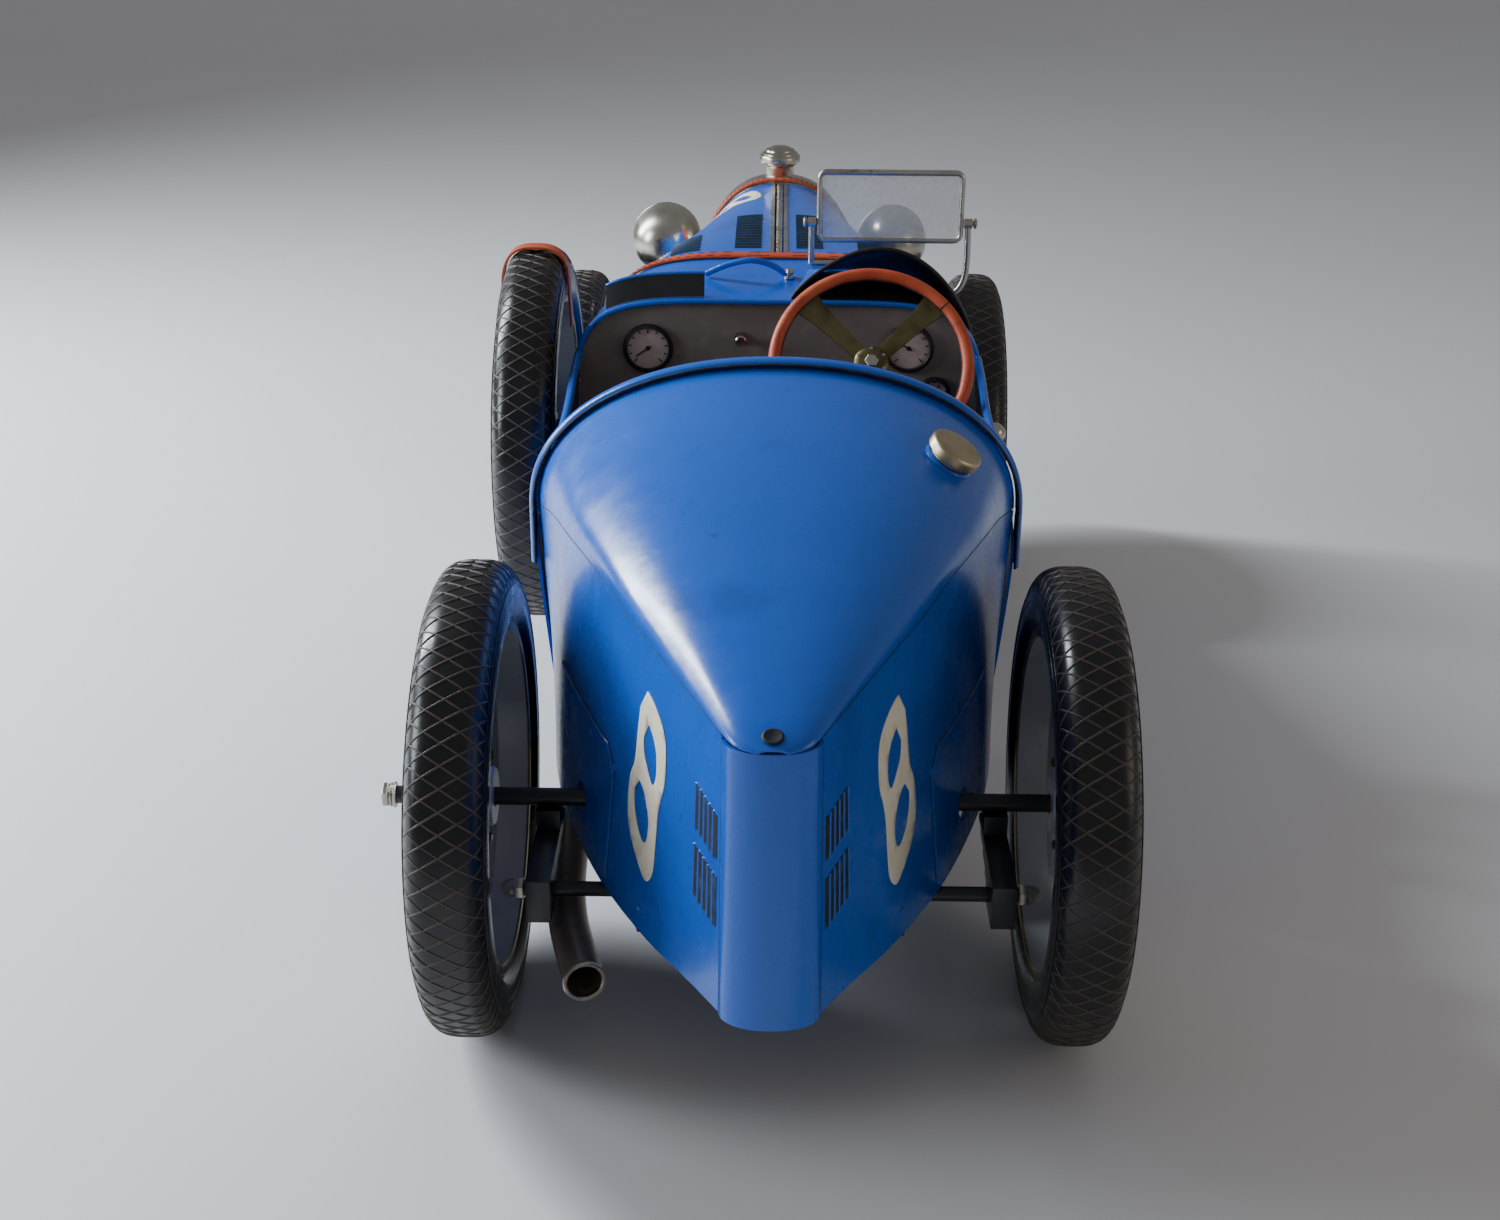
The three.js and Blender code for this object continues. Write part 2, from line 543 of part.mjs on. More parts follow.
function buildNose() {
  const rim = new THREE.Shape(radiatorOutline(0));
  rim.holes.push(new THREE.Path(radiatorOutline(9).reverse()));
  const depth = RADIATOR_FRONT - BONNET_END - GAP;
  const shell = plateAcross(rim, depth, (RADIATOR_FRONT + BONNET_END + GAP) / 2);
  const core = plateAcross(new THREE.Shape(radiatorOutline(8)), 26, 778);
  const stem = block(-52, 52, 764, 786, RAIL_TOP + GAP, 156);
  add("radiator_shell", join(shell, core, stem), NICKEL);

  const capBase = curve(TOP_Z, CAP_Y) + GAP + 0.4;
  const cap = [[0, 0], [14.5, 0], [14.5, 11], [18.5, 13], [19.5, 15], [19.5, 20], [17.5, 23], [14, 26],
    [9, 28.5], [0, 29.5]];
  add("radiator_cap", turned(cap, "Z", 16).translate(0, CAP_Y, capBase), NICKEL);

  // Two bowls on one bar across the front of the radiator.
  const bowl = [[0, -25], [13, -23.5], [24, -16], [31, -4], [34, 14], [34, 24], [0, 28]];
  const lamps = [-112, 112].map((x) => turned(bowl, "Y", 16).translate(x, 776, 359));
  const bar = tube([[-112, 784, 333], [-106, 798, 324], [-90, 806, 321], [0, 806, 321], [90, 806, 321],
    [106, 798, 324], [112, 784, 333]], 4, 12, 4);
  add("headlamps", join(...lamps, bar), NICKEL);
}

// ---------------------------------------------------------------- straps and small fittings
// A strap over the body from y0 to y1; shapeY says where the body has the shape that it follows.
function strapOver(y0, y1, shapeY) {
  const row = (y, offset) => {
    const arch = frontArch(shapeY(y), offset, steps(0, Math.PI, 20)).map(([x, , z]) => [x, y, z]);
    const half = arch[0][0];
    return [[half - 1, y, STRAP_END_Z], ...arch, [-half + 1, y, STRAP_END_Z]];
  };
  return panel([y0, y1].map((y) => row(y, 2.9)), [y0, y1].map((y) => row(y, 1.1)));
}

function buildStraps() {
  add("rear_strap", strapOver(486, 497, (y) => y), LEATHER);
  add("front_strap", strapOver(752, 763, () => RADIATOR_SHAPE_Y), LEATHER);

  // The strap round the top of the spare tyre, down between the tyre and the scuttle.
  const strip = (offset) => {
    const over = steps(0.45, Math.PI, 12).map((angle) =>
      archPoint(TYRE_WIDTH / 2 + offset, SPARE.z + RIM_R + 4, SPARE.z + TYRE_R + offset, 2.8, angle));
    const rows = [[TYRE_WIDTH / 2 + offset, SPARE.z + 96], ...over];
    return [SPARE.y - 8, SPARE.y + 8].map((y) => rows.map(([x, z]) => [SPARE.x + x, y, z]));
  };
  add("spare_strap", panel(strip(3.8), strip(2)), LEATHER);
}

// Point on the tail deck, and the direction that its skin faces there.
function deckPoint(x, y) {
  const height = (px, py) => {
    const half = curve(CREASE_HALF, py);
    const base = curve(CREASE_Z, py);
    const rise = (1 - (Math.abs(px) / half) ** RIDGE_POWER) ** (1 / RIDGE_POWER);
    return base + (curve(RIDGE_Z, py) - base) * rise;
  };
  const normal = new THREE.Vector3(
    height(x - 1, y) - height(x + 1, y), height(x, y - 1) - height(x, y + 1), 2).normalize();
  return { point: new THREE.Vector3(x, y, height(x, y)), normal };
}

function buildFittings() {
  const { point, normal } = deckPoint(116, 98);
  const cap = turned([[0, 0], [15, 0], [15, 2], [19, 3], [19, 9], [17.5, 10.5], [0, 11.5]], "Z", 18);
  cap.applyQuaternion(new THREE.Quaternion().setFromUnitVectors(new THREE.Vector3(0, 0, 1), normal));
  const seat = point.clone().addScaledVector(normal, 2.4);
  add("fuel_cap", cap.translate(seat.x, seat.y, seat.z), NICKEL);

  const pipe = [[-140, 420, 97], [-142, 300, 96], [-142, 120, 95.5], [-141, 20, 95], [-134, -50, 95],
    [-116, -126, 97]];
  add("exhaust_pipe", tube(pipe, 13.2, 12, 6, 11.6), STEEL);

  // Outside handbrake: a lever with a ball on its end, on a pivot boss.
  const lever = join(rod(7, [170.5, 330, 180], [182, 330, 180]), rod(3.4, [178.5, 330, 180], [178.5, 378, 288], 10),
    new THREE.SphereGeometry(9, 10, 8).translate(178.5, 381, 294));
  add("handbrake_lever", lever, NICKEL);
}

// ---------------------------------------------------------------- wheels and axles
function tyreGeometry() {
  const across = steps(-1, 1, 6).map((t) => {
    const fall = (1 - Math.abs(t) ** 2.8) ** (1 / 2.8);
    return [RIM_R + 4 + (TYRE_R - RIM_R - 4) * fall, (t * TYRE_WIDTH) / 2];
  });
  const bead = [[RIM_R + GAP, (TYRE_WIDTH / 2) * 0.82], [RIM_R + GAP, (-TYRE_WIDTH / 2) * 0.82]];
  return turned([...across, ...bead, across[0]], "X", TYRE_SIDES, true);
}

// Rim, dished disc and hub in one; outward is +1 or -1.
function wheelGeometry(outward) {
  const bead = (TYRE_WIDTH / 2) * 0.8;
  const profile = [[RIM_R - 9, bead], [RIM_R - 1.2, bead], [RIM_R - 1.2, -bead], [RIM_R - 9, -bead],
    [RIM_R - 9, 3], [24, 9], [20, -12], [AXLE_BORE, -12], [AXLE_BORE, 26], [18, 26],
    [24, 14], [RIM_R - 9, 8], [RIM_R - 9, bead]];
  return turned(profile.map(([r, h]) => [r, outward * h]), "X");
}

function addWheel(label, side, x, y, z) {
  add(`tyre_${label}`, tyreGeometry().translate(x, y, z), RUBBER);
  add(`wheel_${label}`, wheelGeometry(side).translate(x, y, z), WHEEL_PAINT);
}

function buildWheels() {
  for (const [label, side] of [["left", -1], ["right", 1]]) {
    addWheel(`rear_${label}`, side, side * TRACK_HALF, 0, TYRE_R);
    addWheel(`front_${label}`, side, side * TRACK_HALF, WHEELBASE, TYRE_R);
  }
  addWheel("spare", -1, SPARE.x, SPARE.y, SPARE.z);
}

function buildRearAxle() {
  const R = AXLE_R;
  const profile = [[0, -262], [6, -262], [9, -260], [9, -253], [R, -252], [R, -3], [14, -3],
    [14, -1.5], [AXLE_SPROCKET_R, -1.5], [AXLE_SPROCKET_R, 1.5], [14, 1.5], [14, 3], [R, 3], [R, 226],
    [9, 226], [9, 233], [5, 236], [0, 236]];
  add("rear_axle", turned(profile, "X", 14).translate(0, 0, TYRE_R), STEEL);
}

function buildFrontAxle() {
  const lift = RAIL_TOP + 9 + 2;
  const beam = tube([[-142, 800, 158], [-128, 800, 146], [-108, 800, lift], [0, 800, lift],
    [108, 800, lift], [128, 800, 146], [142, 800, 158]], 9, 14, 4);
  const yoke = (side) => {
    const [a, b] = side < 0 ? [-168, -140] : [140, 168];
    const [c, d] = side < 0 ? [-147, -140] : [140, 147];
    return [block(a, b, 790, 810, 182, 187), block(a, b, 790, 810, 133, 138), block(c, d, 790, 810, 133, 187)];
  };
  add("front_axle", join(beam, ...yoke(-1), ...yoke(1)), BLACK);

  for (const [label, side] of [["left", -1], ["right", 1]]) {
    const barrel = rod(9, [side * KINGPIN_X, 800, 138.5], [side * KINGPIN_X, 800, 181.5]);
    const spindle = rod(AXLE_R, [side * KINGPIN_X, 800, TYRE_R], [side * 230, 800, TYRE_R], 20);
    const nut = rod(9, [side * 225, 800, TYRE_R], [side * 236, 800, TYRE_R], 6);
    const armEnd = WHEELBASE + ARM_LENGTH + 6;
    const arm = block(side * KINGPIN_X - 5, side * KINGPIN_X + 5, WHEELBASE + 4, armEnd, 142, 147);
    add(`knuckle_${label}`, join(barrel, spindle, nut, arm), STEEL);
  }
  const rodZ = 152;
  const rodY = WHEELBASE + ARM_LENGTH;
  const ends = [-1, 1].map((side) =>
    rod(6, [side * KINGPIN_X, rodY, 147.6], [side * KINGPIN_X, rodY, rodZ + 4]));
  const bar = rod(4, [-KINGPIN_X, rodY, rodZ], [KINGPIN_X, rodY, rodZ], 8);
  add("tie_rod", join(bar, ...ends), STEEL);
}

// ---------------------------------------------------------------- steering
// A point on the steering column: distance forward of the wheel's hub along the column.
function columnPoint(distance) {
  return [STEER_HUB.x, STEER_HUB.y + distance * Math.cos(STEER_TILT), STEER_HUB.z - distance * Math.sin(STEER_TILT)];
}

function columnRod(radius, from, to, sides = 16) {
  return rod(radius, columnPoint(from), columnPoint(to), sides);
}

function buildSteering() {
  const rim = new THREE.TorusGeometry(STEER_R, STEER_RIM_R, 8, 28);
  rim.rotateX(Math.PI / 2 - STEER_TILT);
  add("steering_rim", rim.translate(STEER_HUB.x, STEER_HUB.y, STEER_HUB.z), LEATHER);

  // Four flat spokes that widen to the rim, a hub and the column.
  const spoke = (angle) => {
    const shape = new THREE.Shape();
    const reach = STEER_R - STEER_RIM_R - GAP - 0.5;
    shape.setFromPoints([[0, -5], [reach, -9], [reach, 9], [0, 5]].map(([x, y]) => new THREE.Vector2(x, y)));
    const flat = new THREE.ExtrudeGeometry(shape, { depth: 3, bevelEnabled: false });
    flat.translate(0, 0, -1.5).rotateZ(angle).rotateX(Math.PI / 2 - STEER_TILT);
    return flat.translate(STEER_HUB.x, STEER_HUB.y, STEER_HUB.z);
  };
  const spokes = [45, 135, 225, 315].map((a) => spoke(THREE.MathUtils.degToRad(a)));
  add("steering_spider", join(...spokes, columnRod(15, -5, 6, 20), columnRod(6, 0, 165)), BRASS);
}

// ---------------------------------------------------------------- drive
function buildDrive() {
  const { y, z, sprocket } = CRANK;
  const end = curve(RAIL_X, y) - RAIL_HALF - 1.5;
  const pin = (side) => {
    const pz = z + side * CRANK.throw;
    const along = (a, b) => [side * Math.min(a, b), side * Math.max(a, b)].sort((p, q) => p - q);
    const web = (a, b) => {
      const [x0, x1] = along(a, b);
      return block(x0, x1, y - 6, y + 6, Math.min(z, pz) - 6, Math.max(z, pz) + 6);
    };
    return [web(8, 12), web(50, 54), rod(5, [side * 8, y, pz], [side * 54, y, pz]),
      rod(5, [side * 50, y, z], [side * end, y, z])];
  };
  const middle = rod(5, [-12, y, z], [12, y, z]);
  const wheel = rod(sprocket, [-1.5, y, z], [1.5, y, z], 24);
  add("crank", join(middle, wheel, ...pin(-1), ...pin(1)), STEEL);

  for (const [label, side] of [["left", -1], ["right", 1]]) {
    const pz = z + side * CRANK.throw;
    const [a, b] = side < 0 ? [-48, -14] : [14, 48];
    const hole = rod(5 + GAP, [side * 5, y, pz], [side * 60, y, pz]);
    add(`pedal_${label}`, cut(block(a, b, y - 28, y + 28, pz - 8.5, pz + 8.5), hole), RUBBER);
  }

  // Chain loop round the crank's wheel and the axle's, as one band.
  const loop = (extra) => {
    const length = Math.hypot(y, z - TYRE_R);
    const lean = Math.atan2(z - TYRE_R, y);
    const wrap = Math.asin((sprocket - AXLE_SPROCKET_R) / length);
    const [big, small] = [sprocket + extra, AXLE_SPROCKET_R + extra];
    const arc = (cy, cz, r, from, to, count) => steps(from, to, count).map((angle) =>
      new THREE.Vector2(cy + r * Math.cos(angle), cz + r * Math.sin(angle)));
    const quarter = Math.PI / 2 + wrap;
    return [...arc(y, z, big, lean - quarter, lean + quarter, 12),
      ...arc(0, TYRE_R, small, lean + quarter, lean + 2 * Math.PI - quarter, 12)];
  };
  const shape = new THREE.Shape(loop(6));
  shape.holes.push(new THREE.Path(loop(0.6).reverse()));
  const chain = new THREE.ExtrudeGeometry(shape, { depth: 5, bevelEnabled: false });
  // The loop is drawn in Y and Z, and is 5 mm wide across the car.
  chain.applyMatrix4(new THREE.Matrix4().set(0, 0, 1, -2.5, 1, 0, 0, 0, 0, 1, 0, 0, 0, 0, 0, 1));
  add("chain", chain, STEEL);
}

// ---------------------------------------------------------------- assembly
buildChassis();
buildTail();
buildCockpit();
buildScuttle();
buildWindscreen();
buildBonnet();
buildNose();
buildStraps();
buildFittings();
buildWheels();
buildRearAxle();
buildFrontAxle();
buildSteering();
buildDrive();

const bounds = new THREE.Box3().setFromObject(car);
const middle = bounds.getCenter(new THREE.Vector3());
car.position.set(-middle.x, -middle.y, -bounds.min.z);
car.updateMatrixWorld(true);

export default car;
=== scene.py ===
"""Looks of a boat-tailed pedal car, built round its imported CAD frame."""
import json
import math

import bmesh
import bpy
from mathutils import Matrix, Vector


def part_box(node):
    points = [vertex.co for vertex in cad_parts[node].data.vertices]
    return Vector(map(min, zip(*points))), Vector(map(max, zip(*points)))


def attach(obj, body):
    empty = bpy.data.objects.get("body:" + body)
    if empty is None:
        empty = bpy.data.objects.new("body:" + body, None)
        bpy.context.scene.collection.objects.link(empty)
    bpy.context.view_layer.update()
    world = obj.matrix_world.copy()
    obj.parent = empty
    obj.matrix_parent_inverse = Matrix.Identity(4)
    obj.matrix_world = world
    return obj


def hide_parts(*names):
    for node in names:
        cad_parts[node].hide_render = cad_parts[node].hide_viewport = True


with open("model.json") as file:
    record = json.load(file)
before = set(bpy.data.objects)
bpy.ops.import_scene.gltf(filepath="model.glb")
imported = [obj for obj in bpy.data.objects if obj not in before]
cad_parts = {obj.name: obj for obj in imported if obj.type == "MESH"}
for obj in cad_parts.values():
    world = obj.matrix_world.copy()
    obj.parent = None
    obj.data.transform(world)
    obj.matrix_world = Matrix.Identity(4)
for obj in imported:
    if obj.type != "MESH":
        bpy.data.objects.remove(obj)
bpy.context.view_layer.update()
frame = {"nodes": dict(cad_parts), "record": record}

# ------------------------------------------------------------------ places and sizes
# Lengths below are in millimetres in the car's own frame: x to the driver's right, y forward
# from the rear axle, z up from the ground. spot() turns them into the row frame in metres.
MM = 0.001
TYRE_R = 160.0
axle_low, axle_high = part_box("rear_axle")
ORIGIN = Vector((
    (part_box("rail_left")[0].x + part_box("rail_right")[1].x) / 2,
    (axle_low.y + axle_high.y) / 2,
    (axle_low.z + axle_high.z) / 2 - TYRE_R * MM,
))
SHEET = 2.2
BODY_BOTTOM = 128.0
TAIL_END, HOOP_Y, DASH_Y, SCUTTLE_END, BONNET_END = -219.0, 190.0, 400.0, 503.0, 750.0
SHOULDER_Z, SPLIT_Z = 262.0, 290.0
RADIATOR_SHAPE_Y, RADIATOR_FRONT = 780.0, 800.0
TYRE_WIDTH, RIM_R = 51.0, 121.0
SEAT_TOP = 200.0
COWL_LENGTH = 63
LAMP_X, LAMP_Y, LAMP_Z = 112, 776, 359
SPARE_X, SPARE_Y, SPARE_Z = -203, 468, 262
CROSS_ROD_Y, CROSS_ROD_Z = -50, 119
FRONT_AXLE_Y = 800
RIGHT, AHEAD, UP = (1, 0, 0), (0, 1, 0), (0, 0, 1)


def spot(x, y, z):
    return ORIGIN + Vector((x, y, z)) * MM


def centre(node):
    low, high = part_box(node)
    return (low + high) / 2


# ------------------------------------------------------------------ materials
def noise(tree, coords, scale, detail, stretch=None):
    """A noise factor; stretch scales the object's axes apart."""
    source = coords.outputs["Object"]
    if stretch:
        mapping = tree.nodes.new("ShaderNodeMapping")
        mapping.inputs["Scale"].default_value = stretch
        tree.links.new(source, mapping.inputs["Vector"])
        source = mapping.outputs["Vector"]
    texture = tree.nodes.new("ShaderNodeTexNoise")
    texture.inputs["Scale"].default_value = scale
    texture.inputs["Detail"].default_value = detail
    tree.links.new(source, texture.inputs["Vector"])
    return texture.outputs["Fac"]


def ranged(tree, value, low, high, out_low=0.0, out_high=1.0):
    node = tree.nodes.new("ShaderNodeMapRange")
    for socket, number in zip(("From Min", "From Max", "To Min", "To Max"), (low, high, out_low, out_high)):
        node.inputs[socket].default_value = number
    tree.links.new(value, node.inputs["Value"])
    return node.outputs["Result"]


def mixed(tree, factor, first, second):
    """Mix of two colours; first may be a socket."""
    node = tree.nodes.new("ShaderNodeMix")
    node.data_type = "RGBA"
    tree.links.new(factor, node.inputs["Factor"])
    if isinstance(first, tuple):
        node.inputs["A"].default_value = (*first, 1)
    else:
        tree.links.new(first, node.inputs["A"])
    node.inputs["B"].default_value = (*second, 1)
    return node.outputs["Result"]


def blank_material(name):
    """A new material with its node tree, its shader and its coordinates."""
    made = bpy.data.materials.new(name)
    made.use_nodes = True
    tree = made.node_tree
    return made, tree, tree.nodes["Principled BSDF"], tree.nodes.new("ShaderNodeTexCoord")


def finish_material(name, colour, rough, metallic=0.0, coat=0.0, layers=(), grain=(), mask=None, sheen=0.0):
    """A principled material. layers are stains laid over the base by noise: (colour, scale, from, to). grain
    is bumps: (scale, height in metres). A stretch may follow in either. mask is (attribute, colour)."""
    made, tree, shader, coords = blank_material(name)
    shader.inputs["Metallic"].default_value = metallic
    shader.inputs["Coat Weight"].default_value = coat
    shader.inputs["Coat Roughness"].default_value = 0.12
    shader.inputs["Sheen Weight"].default_value = sheen
    result = colour
    for stain, scale, low, high, *stretch in layers:
        factor = ranged(tree, noise(tree, coords, scale, 6.0, *stretch), low, high)
        result = mixed(tree, factor, result, stain)
    if mask:
        attribute = tree.nodes.new("ShaderNodeAttribute")
        attribute.attribute_name = mask[0]
        result = mixed(tree, attribute.outputs["Fac"], result, mask[1])
    tree.links.new(result, shader.inputs["Base Color"])
    smear = noise(tree, coords, 38.0, 5.0)
    tree.links.new(ranged(tree, smear, 0.3, 0.75, rough[0], rough[1]), shader.inputs["Roughness"])
    normal = None
    for scale, height, *stretch in grain:
        bump = tree.nodes.new("ShaderNodeBump")
        bump.inputs["Strength"].default_value = 1.0
        bump.inputs["Distance"].default_value = height
        tree.links.new(noise(tree, coords, scale, 3.0, *stretch), bump.inputs["Height"])
        if normal:
            tree.links.new(normal, bump.inputs["Normal"])
        normal = bump.outputs["Normal"]
    if normal:
        tree.links.new(normal, shader.inputs["Normal"])
    return made


def glass_material(name):
    made, tree, shader, coords = blank_material(name)
    dust = noise(tree, coords, 160.0, 6.0)
    tree.links.new(ranged(tree, dust, 0.35, 0.75, 0.02, 0.16), shader.inputs["Roughness"])
    film = ranged(tree, dust, 0.4, 0.8)
    tint = mixed(tree, film, (0.72, 0.75, 0.76), (0.6, 0.62, 0.62))
    tree.links.new(tint, shader.inputs["Base Color"])
    shader.inputs["Alpha"].default_value = 0.34
    shader.inputs["IOR"].default_value = 1.45
    return made


BLUE = finish_material(
    "blue_enamel", (0.004, 0.1, 0.55), (0.22, 0.34), coat=0.25,
    layers=(
        ((0.006, 0.115, 0.58), 5.0, 0.35, 0.7),
        ((0.004, 0.06, 0.3), 14.0, 0.6, 0.9),
        ((0.02, 0.035, 0.06), 60.0, 0.7, 0.86, (1, 1, 0.35)),
        ((0.3, 0.42, 0.6), 420.0, 0.79, 0.83),
    ),
    grain=((900.0, 0.00002), (26.0, 0.0006)))
# Dark seams and stitches; the same dark is painted shade in the louvre slits and inside the exhaust pipe.
SEAM_AND_PAINTED_SHADOW = finish_material(
    "seam_grime_and_painted_shade", (0.006, 0.01, 0.018), (0.6, 0.8),
    layers=(((0.02, 0.045, 0.09), 90.0, 0.5, 0.7),), grain=((500.0, 0.0001),))
BLACK = finish_material(
    "black_enamel", (0.012, 0.012, 0.014), (0.3, 0.5), coat=0.1,
    layers=(((0.03, 0.028, 0.026), 30.0, 0.55, 0.8),), grain=((700.0, 0.00004),))
NICKEL = finish_material(
    "aged_nickel", (0.55, 0.52, 0.45), (0.2, 0.42), metallic=1.0,
    layers=(((0.38, 0.34, 0.27), 35.0, 0.45, 0.75), ((0.16, 0.13, 0.09), 130.0, 0.62, 0.8)),
    grain=((800.0, 0.00004),))
STEEL = finish_material(
    "worn_steel", (0.3, 0.27, 0.24), (0.28, 0.5), metallic=1.0,
    layers=(((0.16, 0.11, 0.07), 40.0, 0.45, 0.75), ((0.36, 0.26, 0.12), 16.0, 0.56, 0.8)),
    grain=((600.0, 0.00006, (1, 0.15, 1)),))
RUSTY = finish_material(
    "reddish_shaft", (0.13, 0.05, 0.035), (0.4, 0.6), metallic=0.6,
    layers=(((0.25, 0.16, 0.12), 90.0, 0.55, 0.75),), grain=((900.0, 0.00008),))
# Dull brass for the steering spider; on the wheels' rim edges the brass colour is a painted reflection of
# warm light.
BRASS_AND_WARM_REFLECTION = finish_material(
    "dull_brass_and_painted_reflection", (0.17, 0.145, 0.065), (0.3, 0.5), metallic=0.85,
    layers=(((0.07, 0.06, 0.03), 45.0, 0.45, 0.75),), grain=((500.0, 0.00006),))
TYRE = finish_material(
    "tyre_rubber", (0.007, 0.007, 0.008), (0.22, 0.38),
    layers=(((0.014, 0.013, 0.012), 40.0, 0.5, 0.8),), grain=((900.0, 0.00005),))
WHEEL = finish_material(
    "wheel_enamel", (0.5, 0.51, 0.52), (0.3, 0.45), metallic=0.2,
    layers=(((0.4, 0.39, 0.37), 22.0, 0.5, 0.8), ((0.2, 0.17, 0.13), 120.0, 0.68, 0.84)),
    grain=((700.0, 0.00004),))
LEATHER = finish_material(
    "orange_red_leather", (0.5, 0.065, 0.02), (0.34, 0.55),
    layers=(((0.6, 0.11, 0.035), 30.0, 0.45, 0.7), ((0.2, 0.03, 0.015), 110.0, 0.6, 0.8)),
    grain=((1400.0, 0.00012),))
SEAT = finish_material(
    "seat_leather", (0.16, 0.055, 0.025), (0.4, 0.6), sheen=0.15,
    layers=(((0.09, 0.03, 0.015), 25.0, 0.5, 0.75), ((0.26, 0.11, 0.055), 60.0, 0.62, 0.85)),
    grain=((1100.0, 0.00015), (90.0, 0.0004)))
# The body's blue darkened: painted shade on the bonnet-top louvre slats.
PAINTED_SHADE_BLUE = finish_material(
    "painted_shade_blue", (0.003, 0.028, 0.08), (0.4, 0.6),
    layers=(((0.005, 0.05, 0.13), 70.0, 0.55, 0.8),), grain=((700.0, 0.00006),))
# Nickel tinted towards gold for the fuel cap; the warm tint is a painted reflection of warm light.
CAP = finish_material(
    "warm_nickel", (0.56, 0.47, 0.3), (0.34, 0.5), metallic=1.0,
    layers=(((0.4, 0.33, 0.2), 45.0, 0.45, 0.75), ((0.7, 0.62, 0.46), 160.0, 0.6, 0.8)),
    grain=((900.0, 0.00005),))
DASH = finish_material(
    "dash_board", (0.2, 0.175, 0.16), (0.55, 0.75),
    layers=(((0.26, 0.23, 0.21), 60.0, 0.5, 0.75), ((0.13, 0.11, 0.1), 15.0, 0.55, 0.8)),
    grain=((900.0, 0.0001),))
PALE = finish_material(
    "dial_paper", (0.56, 0.46, 0.44), (0.4, 0.6),
    layers=(((0.42, 0.34, 0.32), 120.0, 0.5, 0.8),), grain=((1200.0, 0.00003),))
CREAM = finish_material(
    "cream_number", (0.88, 0.81, 0.64), (0.5, 0.7),
    layers=(((0.76, 0.66, 0.46), 70.0, 0.5, 0.75), ((0.94, 0.89, 0.76), 200.0, 0.55, 0.75)),
    grain=((800.0, 0.00015),))
PEDAL = finish_material(
    "pedal_rubber", (0.02, 0.02, 0.02), (0.6, 0.8),
    layers=(((0.05, 0.045, 0.04), 60.0, 0.55, 0.8),), grain=((900.0, 0.0001),))
EXHAUST = finish_material(
    "exhaust_steel", (0.3, 0.26, 0.21), (0.3, 0.45), metallic=0.7, mask=("heat", (0.62, 0.45, 0.2)),
    layers=(((0.36, 0.28, 0.2), 26.0, 0.45, 0.75), ((0.09, 0.07, 0.06), 90.0, 0.6, 0.8)),
    grain=((600.0, 0.00006),))
RIDGE = finish_material(
    "tyre_ridge", (0.07, 0.048, 0.038), (0.4, 0.6),
    layers=(((0.022, 0.018, 0.016), 45.0, 0.5, 0.75), ((0.2, 0.16, 0.13), 260.0, 0.68, 0.8)),
    grain=((900.0, 0.00006),))
GLASS = glass_material("screen_glass")


# ------------------------------------------------------------------ mesh helpers
def dress(piece, material, body):
    """Gives a piece its material, smooth shading with its sharp edges kept, and its body."""
    piece.data.materials.clear()
    piece.data.materials.append(material)
    piece.data.shade_smooth()
    keep_sharp(piece)
    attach(piece, body)
    return piece


def keep_sharp(piece, angle=35.0):
    """Marks the edges sharper than angle, so that smooth shading stops there."""
    mesh = bmesh.new()
    mesh.from_mesh(piece.data)
    for edge in mesh.edges:
        if len(edge.link_faces) == 2 and edge.calc_face_angle() > math.radians(angle):
            edge.smooth = False
    mesh.to_mesh(piece.data)
    mesh.free()


def new_object(name, data):
    piece = bpy.data.objects.new(name, data)
    bpy.context.scene.collection.objects.link(piece)
    return piece


def made_object(name, mesh):
    """An object from a bmesh, which is then freed."""
    data = bpy.data.meshes.new(name)
    mesh.to_mesh(data)
    mesh.free()
    return new_object(name, data)


def mesh_piece(name, points, faces):
    """A mesh object from row-frame points, with its faces turned outwards."""
    data = bpy.data.meshes.new(name)
    data.from_pydata([tuple(p) for p in points], [], faces)
    mesh = bmesh.new()
    mesh.from_mesh(data)
    bmesh.ops.remove_doubles(mesh, verts=mesh.verts, dist=1e-7)
    bmesh.ops.recalc_face_normals(mesh, faces=mesh.faces)
    mesh.to_mesh(data)
    mesh.free()
    return new_object(name, data)


def steps(a, b, count):
    return [a + (b - a) * i / count for i in range(count + 1)]


def around(count):
    """Evenly spaced angles round a circle."""
    return [2 * math.pi * i / count for i in range(count)]


def panel(name, outer, inner):
    """A sheet between two grids of car-frame points."""
    rows, cols = len(outer), len(outer[0])
    points = [spot(*p) for grid in (outer, inner) for row in grid for p in row]

    def at(layer, r, c):
        return layer * rows * cols + r * cols + c

    faces = []
    for r in range(rows - 1):
        for c in range(cols - 1):
            faces.append((at(0, r, c), at(0, r, c + 1), at(0, r + 1, c + 1), at(0, r + 1, c)))
            faces.append((at(1, r, c), at(1, r + 1, c), at(1, r + 1, c + 1), at(1, r, c + 1)))
        for c in (0, cols - 1):
            faces.append((at(0, r, c), at(0, r + 1, c), at(1, r + 1, c), at(1, r, c)))
    for c in range(cols - 1):
        for r in (0, rows - 1):
            faces.append((at(0, r, c), at(1, r, c), at(1, r, c + 1), at(0, r, c + 1)))
    return mesh_piece(name, points, faces)


def body_sheet(name, row, places):
    """A panel as thick as the body's steel; row(place, inset) gives one row of its points."""
    return panel(name, [row(at, 0) for at in places], [row(at, SHEET) for at in places])


